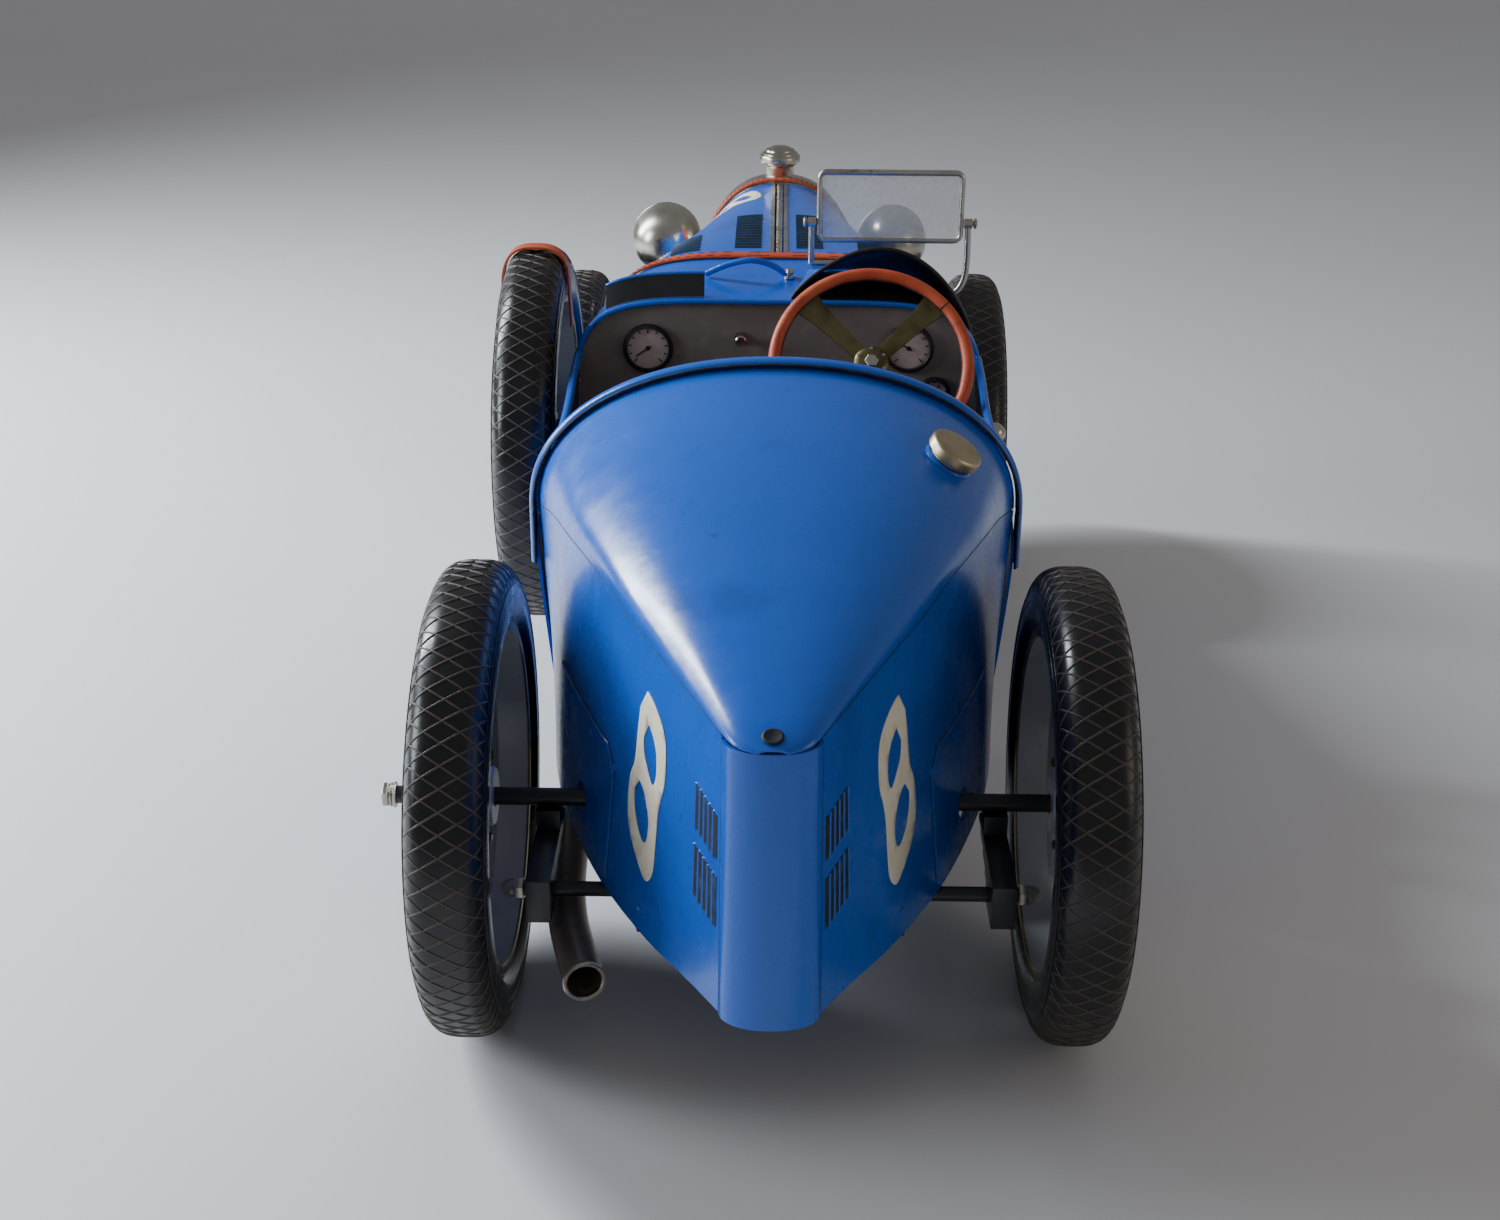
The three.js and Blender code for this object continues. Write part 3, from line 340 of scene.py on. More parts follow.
def sweep(name, path, radius, sides=10, closed=False, across=UP):
    """A round bar along car-frame points; across is a direction that the path never follows."""
    points, faces = [], []
    count = len(path)
    path = [Vector(p) for p in path]
    for i, p in enumerate(path):
        before = path[i - 1] if i or closed else p
        after = path[(i + 1) % count] if i < count - 1 or closed else p
        along = (after - before).normalized()
        side = along.cross(Vector(across))
        side = side.normalized() if side.length > 1e-3 else Vector(RIGHT)
        up = side.cross(along)
        for angle in around(sides):
            offset = side * math.cos(angle) * radius + up * math.sin(angle) * radius
            points.append(spot(*(p + offset)))
    for i in range(count if closed else count - 1):
        for k in range(sides):
            a, b = i * sides + k, i * sides + (k + 1) % sides
            c = ((i + 1) % count) * sides
            faces.append((a, b, c + (k + 1) % sides, c + k))
    if not closed:
        faces.append(tuple(range(sides)))
        faces.append(tuple(range((count - 1) * sides, count * sides)))
    return mesh_piece(name, points, faces)


def turned(name, profile, sides, base, axis):
    """A turned piece: profile is (radius, height) in mm along axis from base, a row-frame point."""
    turn = Vector(UP).rotation_difference(Vector(axis).normalized()).to_matrix()
    points, faces = [], []
    for r, h in profile:
        for a in around(sides):
            points.append(base + turn @ (Vector((r * math.cos(a), r * math.sin(a), h)) * MM))
    for i in range(len(profile) - 1):
        for k in range(sides):
            a, b = i * sides + k, i * sides + (k + 1) % sides
            faces.append((a, b, b + sides, a + sides))
    for i in (0, len(profile) - 1):
        if profile[i][0] > 0 and profile[0] != profile[-1]:
            faces.append(tuple(i * sides + k for k in range(sides)))
    return mesh_piece(name, points, faces)


def joined(name, pieces):
    """Several meshes made into one object."""
    mesh = bmesh.new()
    for piece in pieces:
        mesh.from_mesh(piece.data)
        old = piece.data
        bpy.data.objects.remove(piece)
        bpy.data.meshes.remove(old)
    return made_object(name, mesh)


def box_piece(name, low, high, bevel):
    """A car-frame box with rounded edges."""
    mesh = bmesh.new()
    bmesh.ops.create_cube(mesh, size=1.0)
    low, high = Vector(low), Vector(high)
    for v in mesh.verts:
        v.co = spot(*[low[i] + (high[i] - low[i]) * (v.co[i] + 0.5) for i in range(3)])
    bmesh.ops.bevel(mesh, geom=mesh.edges[:], offset=bevel * MM, segments=2, affect="EDGES")
    return made_object(name, mesh)


def box_ring(name, count, low, high, bevel, place, axis):
    """Small boxes spaced evenly round the axis, "X" or "Z", through place."""
    boxes = []
    for angle in around(count):
        turn = Matrix.Rotation(angle, 4, axis)
        boxes.append(box_piece("box", low, high, bevel))
        boxes[-1].data.transform(Matrix.Translation(place) @ turn @ Matrix.Translation(-ORIGIN))
    return joined(name, boxes)


def rounded(x0, x1, z0, z1, radius, per_corner=6):
    """Points round a rounded rectangle."""
    corners = ((x1 - radius, z0 + radius, -90), (x1 - radius, z1 - radius, 0),
               (x0 + radius, z1 - radius, 90), (x0 + radius, z0 + radius, 180))
    return [
        (cx + radius * math.cos(math.radians(start + a)), cz + radius * math.sin(math.radians(start + a)))
        for cx, cz, start in corners for a in steps(0, 90, per_corner)]


def smooth_path(points, per_span):
    """Catmull-Rom points through the given ones."""
    points = [Vector(p) for p in points]
    out = []
    for i in range(len(points) - 1):
        a, b, c, d = (points[min(max(j, 0), len(points) - 1)] for j in (i - 1, i, i + 1, i + 2))
        for k in range(per_span):
            t = k / per_span
            out.append(0.5 * (2 * b + (c - a) * t + (2 * a - 5 * b + 4 * c - d) * t * t
                              + (3 * b - a - 3 * c + d) * t ** 3))
    out.append(points[-1])
    return out


def sheet_across(name, outline, y0, y1):
    """A plate between two planes of constant y, from an outline in x and z."""
    count = len(outline)
    points = [spot(x, y, z) for y in (y0, y1) for x, z in outline]
    faces = [tuple(range(count)), tuple(range(2 * count - 1, count - 1, -1))]
    faces += [(i, (i + 1) % count, count + (i + 1) % count, count + i) for i in range(count)]
    return mesh_piece(name, points, faces)


BODY_OF = {node: body for body, nodes in frame["record"]["behaviour"]["bodies"].items() for node in nodes}


def stand_for(piece, material, *nodes):
    """The piece shows in place of these CAD nodes and rides where the first one does."""
    dress(piece, material, BODY_OF[nodes[0]])
    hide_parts(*nodes)
    return piece


def trim(piece, material, body="chassis"):
    """A piece with no node of its own in the CAD."""
    return dress(piece, material, body)


def louvres(place, label, slats, gaps, material, body="chassis"):
    """The raised edges of a bank of louvres and the slits behind them, dark as painted shade."""
    trim(joined(f"{place}_louvres_{label}", slats), material, body)
    trim(joined(f"{place}_louvre_gaps_{label}", gaps), SEAM_AND_PAINTED_SHADOW, body)


def refined(node, material, bevel=0.5):
    """A copy of a CAD node whose real edges get a small radius."""
    mesh = bmesh.new()
    mesh.from_mesh(frame["nodes"][node].data)
    bmesh.ops.remove_doubles(mesh, verts=mesh.verts, dist=2e-6)
    bmesh.ops.dissolve_limit(
        mesh, angle_limit=math.radians(1.0), verts=mesh.verts, edges=mesh.edges, delimit={"NORMAL"})
    bmesh.ops.join_triangles(
        mesh, faces=mesh.faces, angle_face_threshold=math.radians(14), angle_shape_threshold=math.radians(60))
    edges = [e for e in mesh.edges if len(e.link_faces) == 2 and e.calc_face_angle() > math.radians(32)]
    bmesh.ops.bevel(
        mesh, geom=edges, offset=bevel * MM, segments=2, profile=0.6, affect="EDGES", clamp_overlap=True)
    return stand_for(made_object(node + "_finish", mesh), material, node)


# ------------------------------------------------------------------ the body's shape, as in the CAD
LOWER_HALF = [
    (-200, 30), (-170, 48), (-124, 77), (-60, 109), (0, 131), (68, 150), (130, 160), (190, 163),
    (300, 162), (400, 160), (503, 148)]
CREASE_HALF = [
    (TAIL_END, 9), (-213, 20), (-200, 28), (-170, 42), (-124, 63), (-60, 91), (0, 114), (68, 139),
    (130, 157), (190, 174)]
CREASE_Z = [
    (TAIL_END, 308), (-170, 314), (-124, 318), (-60, 322), (0, 325), (68, 323), (130, 315), (190, 300)]
RIDGE_Z = [
    (TAIL_END, 311), (-200, 319), (-124, 341), (-60, 358), (0, 373), (68, 387), (130, 398), (190, 407)]
RIDGE_POWER = 2.15
SHOULDER_HALF = [
    (190, 176), (250, 171), (300, 168), (400, 167), (450, 160), (503, 149), (580, 132), (650, 112),
    (700, 98), (750, 86), (800, 84)]
TOP_Z = [(400, 398), (450, 406), (503, 413), (750, 422), (800, 424)]
ARCH_POWER = [(400, 5.5), (450, 4.8), (503, 4), (600, 3), (700, 2.5), (800, 2.4)]
COCKPIT_EDGE = [(190, 312), (230, 322), (300, 336), (400, 352)]
SIDES = (("left", -1), ("right", 1))


def lerp(a, b, t):
    return a + (b - a) * t


def curve(table, y):
    """Smooth curve through (y, value) rows, sorted by y."""
    last = len(table) - 1
    i = 0
    while i < last - 1 and y > table[i + 1][0]:
        i += 1

    def slope(j):
        a, b = max(j - 1, 0), min(j + 1, last)
        return (table[b][1] - table[a][1]) / (table[b][0] - table[a][0])

    h = table[i + 1][0] - table[i][0]
    t = min(max((y - table[i][0]) / h, 0.0), 1.0)
    m, n = slope(i) * h, slope(i + 1) * h
    rise = 3 * t ** 2 - 2 * t ** 3
    return lerp(table[i][1], table[i + 1][1], rise) + (t ** 3 - 2 * t ** 2 + t) * m + (t ** 3 - t ** 2) * n


def arch_point(half, base, top, power, angle):
    c, s = math.cos(angle), max(math.sin(angle), 0.0)
    return math.copysign(half * abs(c) ** (2 / power), c), base + (top - base) * s ** (2 / power)


def front_arch(y, offset, angles, shape_y=None):
    """An arch of the front body, from the right shoulder over to the left."""
    at = y if shape_y is None else shape_y
    half, top, power = curve(SHOULDER_HALF, at) + offset, curve(TOP_Z, at) + offset, curve(ARCH_POWER, at)
    flat = [arch_point(half, SHOULDER_Z, top, power, angle) for angle in angles]
    return [(x, y, z) for x, z in flat]


def front_skin(x, y):
    half, power = curve(SHOULDER_HALF, y), curve(ARCH_POWER, y)
    rise = (1 - min(abs(x) / half, 1) ** power) ** (1 / power)
    return SHOULDER_Z + (curve(TOP_Z, y) - SHOULDER_Z) * rise


def deck_height(x, y):
    rise = (1 - min(abs(x) / curve(CREASE_HALF, y), 1) ** RIDGE_POWER) ** (1 / RIDGE_POWER)
    return curve(CREASE_Z, y) + (curve(RIDGE_Z, y) - curve(CREASE_Z, y)) * rise


def on_side(side, y, z, lift=0.0):
    """A point on the tail's flat side."""
    t = (z - BODY_BOTTOM) / (curve(CREASE_Z, y) - BODY_BOTTOM)
    return side * (lerp(curve(LOWER_HALF, y), curve(CREASE_HALF, y), t) + lift), y, z


def lined(piece, lining, inside):
    """Gives the faces whose normal passes the test a second material."""
    piece.data.materials.append(lining)
    for face in piece.data.polygons:
        if inside(face.normal, face.center):
            face.material_index = 1
    return piece


def bored(piece, cutter):
    """Cuts the cutter out of the piece for good."""
    hole = piece.modifiers.new("hole", "BOOLEAN")
    hole.operation = "DIFFERENCE"
    hole.solver = "EXACT"
    hole.object = cutter
    bpy.context.view_layer.update()
    shaped = piece.evaluated_get(bpy.context.evaluated_depsgraph_get())
    data = bpy.data.meshes.new_from_object(shaped)
    piece.modifiers.clear()
    piece.data = data
    bpy.data.objects.remove(cutter)
    return piece


# ------------------------------------------------------------------ tail
def build_tail():
    ys = [TAIL_END, -217.5, -215, -211, -206, -200, *steps(-195, HOOP_Y, 44)]
    angles = steps(0, math.pi, 56)

    def deck_row(y, inset):
        half, base, top = curve(CREASE_HALF, y), curve(CREASE_Z, y), curve(RIDGE_Z, y)
        t = min(inset, 0.5 * (top - base), 0.3 * half)
        flat = [arch_point(half - t, base, top - t, RIDGE_POWER, angle) for angle in angles]
        return [(x, y, z) for x, z in flat]

    deck = body_sheet("tail_deck_finish", deck_row, ys)
    stand_for(deck, BLUE, "tail_deck")

    for label, side in SIDES:
        def side_row(y, inset):
            top = curve(CREASE_Z, y) - 1.1
            return [on_side(side, y, z, -inset) for z in steps(BODY_BOTTOM, top, 14)]

        skin = body_sheet(f"tail_side_{label}_finish", side_row, [-199.5, *steps(-195, HOOP_Y, 44)])
        cutter = turned("hole", [(11, -40), (11, 40)], 32, spot(side * 131, 0, TYRE_R), RIGHT)
        bored(skin, cutter)
        stand_for(skin, BLUE, f"tail_side_{label}")
        crease = [(side * (curve(CREASE_HALF, y) - 0.9), y, curve(CREASE_Z, y) - 0.55)
                  for y in steps(-199, 181, 60)]
        trim(sweep(f"crease_seam_{label}", crease, 0.95, 8), SEAM_AND_PAINTED_SHADOW)
        build_side_trim(label, side)

    def strip_row(t, inset):
        half = lerp(30, 28, t) - inset
        flat = [arch_point(half, 0, 19.2 - inset, 2.1, angle) for angle in steps(0, math.pi, 48)]
        return [(x, -199.8 - depth, lerp(BODY_BOTTOM, 307.4, t)) for x, depth in flat]

    stand_for(body_sheet("tail_strip_finish", strip_row, steps(0, 1, 10)), BLUE, "tail_strip")
    for label, side in SIDES:
        seam = [(side * lerp(29.4, 27.4, t), -199.9, lerp(BODY_BOTTOM + 1, 307, t)) for t in steps(0, 1, 10)]
        trim(sweep(f"strip_seam_{label}", seam, 0.85, 8), SEAM_AND_PAINTED_SHADOW)
    dimple = [(0, 0), (5.4, 0), (6.4, 0.6), (5.2, 1.3), (2.6, 0.6), (0, 0.3)]
    tip = turned("tail_weld_dimple", dimple, 20, spot(0, -211, deck_height(0, -211) - 0.2), (0, -0.35, 1))
    trim(tip, SEAM_AND_PAINTED_SHADOW)


def build_side_trim(label, side):
    """The access panel's edge, the louvres and the number on one side of the tail."""
    corner = [(75, 225), (-48, 225), (-62, 211), (-62, BODY_BOTTOM + 1)]
    edge, line = [], []
    for (y0, z0), (y1, z1) in zip(corner, corner[1:]):
        for t in steps(0, 1, 12)[:-1]:
            edge.append(on_side(side, lerp(y0, y1, t), lerp(z0, z1, t), -0.1))
            line.append(on_side(side, lerp(y0, y1, t) - 1.3, lerp(z0, z1, t) + 1.5, -0.35))
    trim(sweep(f"access_panel_bead_{label}", edge, 1.25, 8), BLUE)
    trim(sweep(f"access_panel_seam_{label}", line, 0.8, 6), SEAM_AND_PAINTED_SHADOW)
    for i, y in enumerate((-112, -62, -12, 38)):
        head = [(0, 0), (2.6, 0), (2.6, 0.6), (1.8, 1.3), (0, 1.5)]
        base = spot(*on_side(side, y, 144 if y < -70 else 216, -0.2))
        trim(turned(f"panel_rivet_{label}_{i}", head, 16, base, (side, -0.35, 0)), BLUE)

    slats, gaps = [], []
    for i in range(5):
        y = LOUVRE_START + LOUVRE_PITCH * i
        for low, high in ((184 + 1.5 * i, 217 + 1.5 * i), (229 + 1.5 * i, 257 + 1.5 * i)):
            zs = steps(low, high, 8)
            # Each slot is a dark sheet laid on the skin: painted shade.
            over = ((-1.9, 0.3), (0, 0.36), (1.9, 0.3))
            strip = [[on_side(side, y + w, z, lift) for z in zs] for w, lift in over]
            under = [[on_side(side, y + w, z, -0.4) for z in zs] for w in (-1.9, 0, 1.9)]
            gaps.append(panel("gap", strip, under))
            line = [on_side(side, y + 2.7, z, -0.1) for z in steps(low - 1, high + 1, 8)]
            slats.append(sweep("slat", line, 1.0, 8))
    louvres("tail", label, slats, gaps, BLUE)
    build_number(label, side)


LOUVRE_START, LOUVRE_PITCH = -194.5, 5.4

# Outlines of the painted figure in mm: how far towards the tail's end, and up, from its middle.
NUMBER_Y, NUMBER_Z = -117, 233
NUMBER_EDGE = [
    (-14, 56), (4, 49), (15, 36), (17, 12), (13, -4), (11, -16), (10.5, -40), (9, -57), (1.5, -66), (-9, -60),
    (-22, -47), (-29, -31), (-29, -9), (-24, 5), (-23, 27), (-21, 46)]
NUMBER_EYES = [
    [(-9, 36), (-1, 31), (4.5, 22), (5.6, 8), (1.5, 1), (-6, 8), (-12, 16), (-14, 28)],
    [(-16, -5), (-7, -11), (0, -25), (-1, -39), (-6.5, -42), (-15, -34), (-20.5, -22), (-21, -11)]]


def painted_figure(name, place):
    """The figure painted by hand: flat outlines filled, cut fine and laid on the skin by place(a, b)."""
    mesh = bmesh.new()
    for outline in (NUMBER_EDGE, *NUMBER_EYES):
        loop = smooth_path([(a, b, 0) for a, b in [*outline[-2:], *outline, *outline[:2]]], 5)[10:-10]
        ring = [mesh.verts.new((p.x, p.y, 0)) for p in loop[:-1]]
        for a, b in zip(ring, ring[1:] + ring[:1]):
            mesh.edges.new((a, b))
    bmesh.ops.triangle_fill(mesh, edges=mesh.edges[:], use_beauty=True, use_dissolve=False)
    cuts = [(x, RIGHT) for x in steps(-27, 15, 7)] + [(y, AHEAD) for y in steps(-60, 50, 14)]
    for at, across in cuts:
        bmesh.ops.bisect_plane(
            mesh, geom=[*mesh.verts, *mesh.edges, *mesh.faces], plane_co=Vector(across) * at, plane_no=across)
    for v in mesh.verts:
        v.co = spot(*place(v.co.x, v.co.y))
    figure = made_object(name, mesh)
    paint = figure.modifiers.new("paint", "SOLIDIFY")
    paint.thickness = 0.25 * MM
    return figure


def build_number(label, side):
    def on_tail(a, b):
        return on_side(side, NUMBER_Y - a, NUMBER_Z + b, 0.3)

    trim(painted_figure(f"number_{label}", on_tail), CREAM)


# ------------------------------------------------------------------ cockpit
def build_cockpit():
    for label, side in SIDES:
        def row(y, inset):
            shoulder, edge = curve(SHOULDER_HALF, y), curve(COCKPIT_EDGE, y)
            lean = lerp(6, 3, (y - HOOP_Y) / (DASH_Y - HOOP_Y))
            outline = [
                (BODY_BOTTOM, curve(LOWER_HALF, y)), (200, shoulder - 5), (SHOULDER_Z, shoulder),
                ((SHOULDER_Z + edge) / 2, shoulder - lean * 0.3), (edge, shoulder - lean)]
            return [(side * (curve(outline, z) - inset), y, z) for z in steps(BODY_BOTTOM, edge, 26)]

        ys = steps(HOOP_Y + 0.3, DASH_Y - 0.3, 24)
        skin = body_sheet(f"cockpit_side_{label}_finish", row, ys)
        stand_for(skin, BLUE, f"cockpit_side_{label}")
        lined(skin, BLACK, lambda normal, at, s=side: normal.x * s < -0.5)
        roll = [(row(y, 1.1)[-1][0], y, row(y, 1.1)[-1][2] + 0.6) for y in steps(196, 398, 24)]
        trim(sweep(f"cockpit_edge_{label}", roll, 3.3, 12), BLUE)
        under = [
            (row(y, -0.2)[-3][0] + side * 0.2, y, curve(COCKPIT_EDGE, y) - 5.5) for y in steps(196, 398, 24)]
        trim(sweep(f"cockpit_edge_seam_{label}", under, 0.7, 6), SEAM_AND_PAINTED_SHADOW)

    def hoop_row(y, offset):
        half, foot, top = 174 + offset, 300, 407 + offset
        over = [arch_point(half, foot, top, RIDGE_POWER, angle) for angle in steps(0, math.pi, 64)]
        ends = [(half, z) for z in (256, 263, 270, 278, 286, 294)]
        back = [(-x, z) for x, z in reversed(ends)]
        return [(x, y, z) for x, z in [*ends, *over, *back]]

    across = [-1, -0.97, -0.88, -0.7, -0.4, 0, 0.4, 0.7, 0.88, 0.97, 1]
    outer = [hoop_row(187 + 6 * u, 2.8 + 3.1 * math.sqrt(max(1 - u * u, 0))) for u in across]
    inner = [hoop_row(187 + 6 * u, 2.6) for u in across]
    stand_for(panel("coaming_hoop_finish", outer, inner), BLUE, "coaming_hoop")
    for label, y in (("back", 180.3), ("front", 193.4)):
        trim(sweep(f"hoop_seam_{label}", hoop_row(y, 2.1), 1.0, 8), SEAM_AND_PAINTED_SHADOW)


def pillow(name, x_range, depth_range, base, rise, pleats, upright):
    """A pleated pad. depth_range runs along y for a seat and along z for an upright back."""
    columns, rows = 72, 30

    def at(i, j, up):
        u, v = i / columns, j / rows
        edge = max(1 - abs(2 * u - 1) ** 8, 0) ** 0.4 * max(1 - abs(2 * v - 1) ** 7, 0) ** 0.4
        groove = abs(math.sin(math.pi * pleats * u)) ** 0.35
        sag = 1 - 0.1 * math.sin(math.pi * u) * math.sin(math.pi * v)
        height = base + up * rise * edge * (0.74 + 0.26 * groove) * sag
        x = lerp(*x_range, u)
        other = lerp(*depth_range, v)
        return spot(x, height, other) if upright else spot(x, other, height)

    points = [at(i, j, up) for up in (1, 0) for j in range(rows + 1) for i in range(columns + 1)]
    layer = (rows + 1) * (columns + 1)
    faces = []
    for up in range(2):
        for j in range(rows):
            for i in range(columns):
                a = up * layer + j * (columns + 1) + i
                faces.append((a, a + 1, a + columns + 2, a + columns + 1))
    return mesh_piece(name, points, faces)


def build_seat():
    cushion = pillow("seat_cushion_pad", (-121, 121), (179, 320), SEAT_TOP + 0.6, 34, 8, False)
    stand_for(cushion, SEAT, "seat_cushion")
    back = pillow("seat_back_pad", (-118, 118), (236, 300), 177.2, 15, 8, True)
    trim(back, SEAT, "chassis")
    welt = [(x, y, SEAT_TOP + 3) for x, y in rounded(-121.5, 121.5, 178.5, 320.5, 8)]
    trim(sweep("seat_welt", welt, 2.0, 8, closed=True), LEATHER, "chassis")
    refined("seat_frame", BLACK)
    refined("floor_pan", BLACK)
    for i in range(7):
        y = 90 + 46 * i
        rib = [(x, y, BODY_BOTTOM + 2.4) for x in steps(-120, 120, 6)]
        trim(sweep(f"floor_rib_{i}", rib, 2.4, 8), BLACK)


# ------------------------------------------------------------------ scuttle, dash and screens
def build_scuttle():
    def row(y, inset):
        lower = curve(LOWER_HALF, y) - inset
        foot = [(lerp(lower, curve(SHOULDER_HALF, y) - inset, t ** 0.8), y, lerp(BODY_BOTTOM, SHOULDER_Z, t))
                for t in steps(0, 1, 8)[:-1]]
        return [*foot, *front_arch(y, -inset, angles), *[(-x, y, z) for x, _, z in reversed(foot)]]

    crown = [math.pi / 2 + sign * step for sign in (-1, 1) for step in (0.0006, 0.002, 0.0063, 0.0167, 0.03)]
    angles = sorted([*steps(0, math.pi, 72), *crown])
    ys = steps(DASH_Y, SCUTTLE_END, 16)
    skin = body_sheet("scuttle_skin", row, ys)
    peg = turned("peg", [(0, 0), (12, 0), (12, 40), (10, 40.5), (5.9, 41), (5.9, 82), (5, 84), (0, 84)], 32,
                 spot(-150, 468, 262), (-1, 0, 0))
    piece = stand_for(joined("scuttle_finish", [skin, peg]), BLUE, "scuttle")
    near, far = spot(12, DASH_Y, 0), spot(150, DASH_Y + 44, 0)

    def dark(normal, at):
        inside = normal.dot(at - spot(0, 450, 200)) < 0 and at.x > -0.14
        # The scuttle under the driver's cowl is black as painted shade in the hollow cowl.
        shade_under_cowl = near.x + 0.25 * (at.y - near.y) < at.x < far.x and at.y < far.y and normal.z > 0.4
        return inside or shade_under_cowl

    lined(piece, BLACK, dark)
    roll = front_arch(DASH_Y - 0.2, -1.0, steps(0.05, math.pi - 0.05, 72))
    trim(sweep("scuttle_edge", roll, 2.4, 10, across=AHEAD), BLUE)

    outline = [(x, z) for x, _, z in front_arch(DASH_Y + 6, -SHEET - 1.2, steps(0, math.pi, 48))]
    outline += [(-140, 246), (140, 246)]
    plate = sheet_across("dash_plate", outline, DASH_Y + 3, DASH_Y + 6)
    bored(plate, turned("hole", [(8, -30), (8, 30)], 32, spot(*column_point(101)), column_axis()))
    stand_for(plate, DASH, "dashboard")
    build_dial("left", -106, 357, 20, 215)
    build_dial("right", 107, 359, 20, 150)
    build_dial("low", 129, 322, 13, 60)
    build_dash_knobs()

    def cowl_row(y, lift):
        t = (y - DASH_Y) / COWL_LENGTH
        row = []
        for s in steps(0, 1, 40):
            x = lerp(10 + 16 * t, 158 - 26 * t, s)
            arch = 43 * max(math.sin(math.pi * s), 0) ** 0.8 * (1 - t) ** 0.75
            row.append((x, y, front_skin(x, y) + 0.3 + arch + lift))
        return row

    cowl_ys = steps(DASH_Y + 1, DASH_Y + COWL_LENGTH - 1, 20)
    cowl = panel("driver_cowl_finish", [cowl_row(y, 1.6) for y in cowl_ys], [cowl_row(y, 0) for y in cowl_ys])
    stand_for(cowl, BLUE, "driver_cowl")
    lined(cowl, BLACK, lambda normal, at: normal.z < -0.05)
    lip = sweep("driver_cowl_edge", cowl_row(DASH_Y + 2, 0.8), 1.6, 10, across=AHEAD)
    trim(lip, BLACK)

    def wind(thickness):
        return [
            [(x, DASH_Y + 5 + 9 * t + thickness, front_skin(x, DASH_Y + 5) + 0.9 + 18 * t)
             for x in steps(-140, -60, 32)] for t in steps(0, 1, 8)]

    shield = panel("passenger_deflector_finish", wind(0), wind(2))
    stand_for(shield, BLACK, "passenger_deflector")
    top = [(x, y + 1, z - 0.9) for x, y, z in wind(0)[-1]]
    trim(sweep("deflector_edge", top, 1.7, 10), BLUE)

    feet = [(-60, 446, 3.2), (-42, 443, 12), (-23, 440, 17), (-6, 443, 12), (6, 446, 3.2)]
    path = smooth_path([(x, y, front_skin(x, y) + up) for x, y, up in feet], 8)
    stand_for(sweep("scuttle_stay_finish", path, 2.6, 16), BLUE, "scuttle_stay")
    knob = [(0, 0), (4.5, 0), (4.5, 2), (3, 3), (4.2, 5), (3.4, 7.6), (0, 8.4)]
    foot = spot(9, 446, front_skin(9, 446) + 0.2)
    trim(turned("stay_knob", knob, 24, foot, UP), NICKEL)


def build_dial(label, x, z, radius, needle):
    """An instrument on the dash: bezel, pale face, ticks and needle."""
    back = (0, -1, 0)
    face = spot(x, DASH_Y + 3, z)
    bezel = [(radius - 3, 0.2), (radius, 0.2), (radius + 0.6, 2), (radius - 0.6, 4), (radius - 2.4, 4.4),
             (radius - 3.2, 3.2), (radius - 3, 0.2)]
    trim(turned(f"dial_bezel_{label}", bezel, 48, face, back), BLACK)
    disc = [(0, 0.1), (radius - 2.8, 0.1), (radius - 2.8, 1.2), (radius - 5, 1.4), (0, 1.4)]
    trim(turned(f"dial_face_{label}", disc, 48, face, back), PALE)

    def stroke(name, inner, outer, angle, height, thick, sides):
        ends = [(x + radius * part * math.cos(angle), DASH_Y + height, z + radius * part * math.sin(angle))
                for part in (inner, outer)]
        marks.append(sweep(name, ends, thick, sides, across=AHEAD))

    marks = []
    for i in range(11):
        stroke("mark", 0.62 if i % 5 == 0 else 0.68, 0.79, math.radians(225 - 27 * i), 1.4, 0.5, 4)
    stroke("needle", -0.15, 0.6, math.radians(needle), 1.2, 0.6, 6)
    marks.append(turned("boss", [(0, 1.2), (2, 1.2), (1.6, 2.4), (0, 2.6)], 16, face, back))
    trim(joined(f"dial_marks_{label}", marks), BLACK)


def build_dash_knobs():
    knob = [(0, 0), (5.5, 0), (5.5, 1.2), (2.6, 1.6), (2.4, 6), (4.6, 7), (4.6, 10), (3.6, 11), (0, 11.2)]
    for i, (x, z) in enumerate(((-48, 330), (-30, 330), (-12, 330), (-30, 366))):
        trim(turned(f"dash_knob_{i}", knob, 24, spot(x, DASH_Y + 2.8, z), (0, -1, 0)), NICKEL)


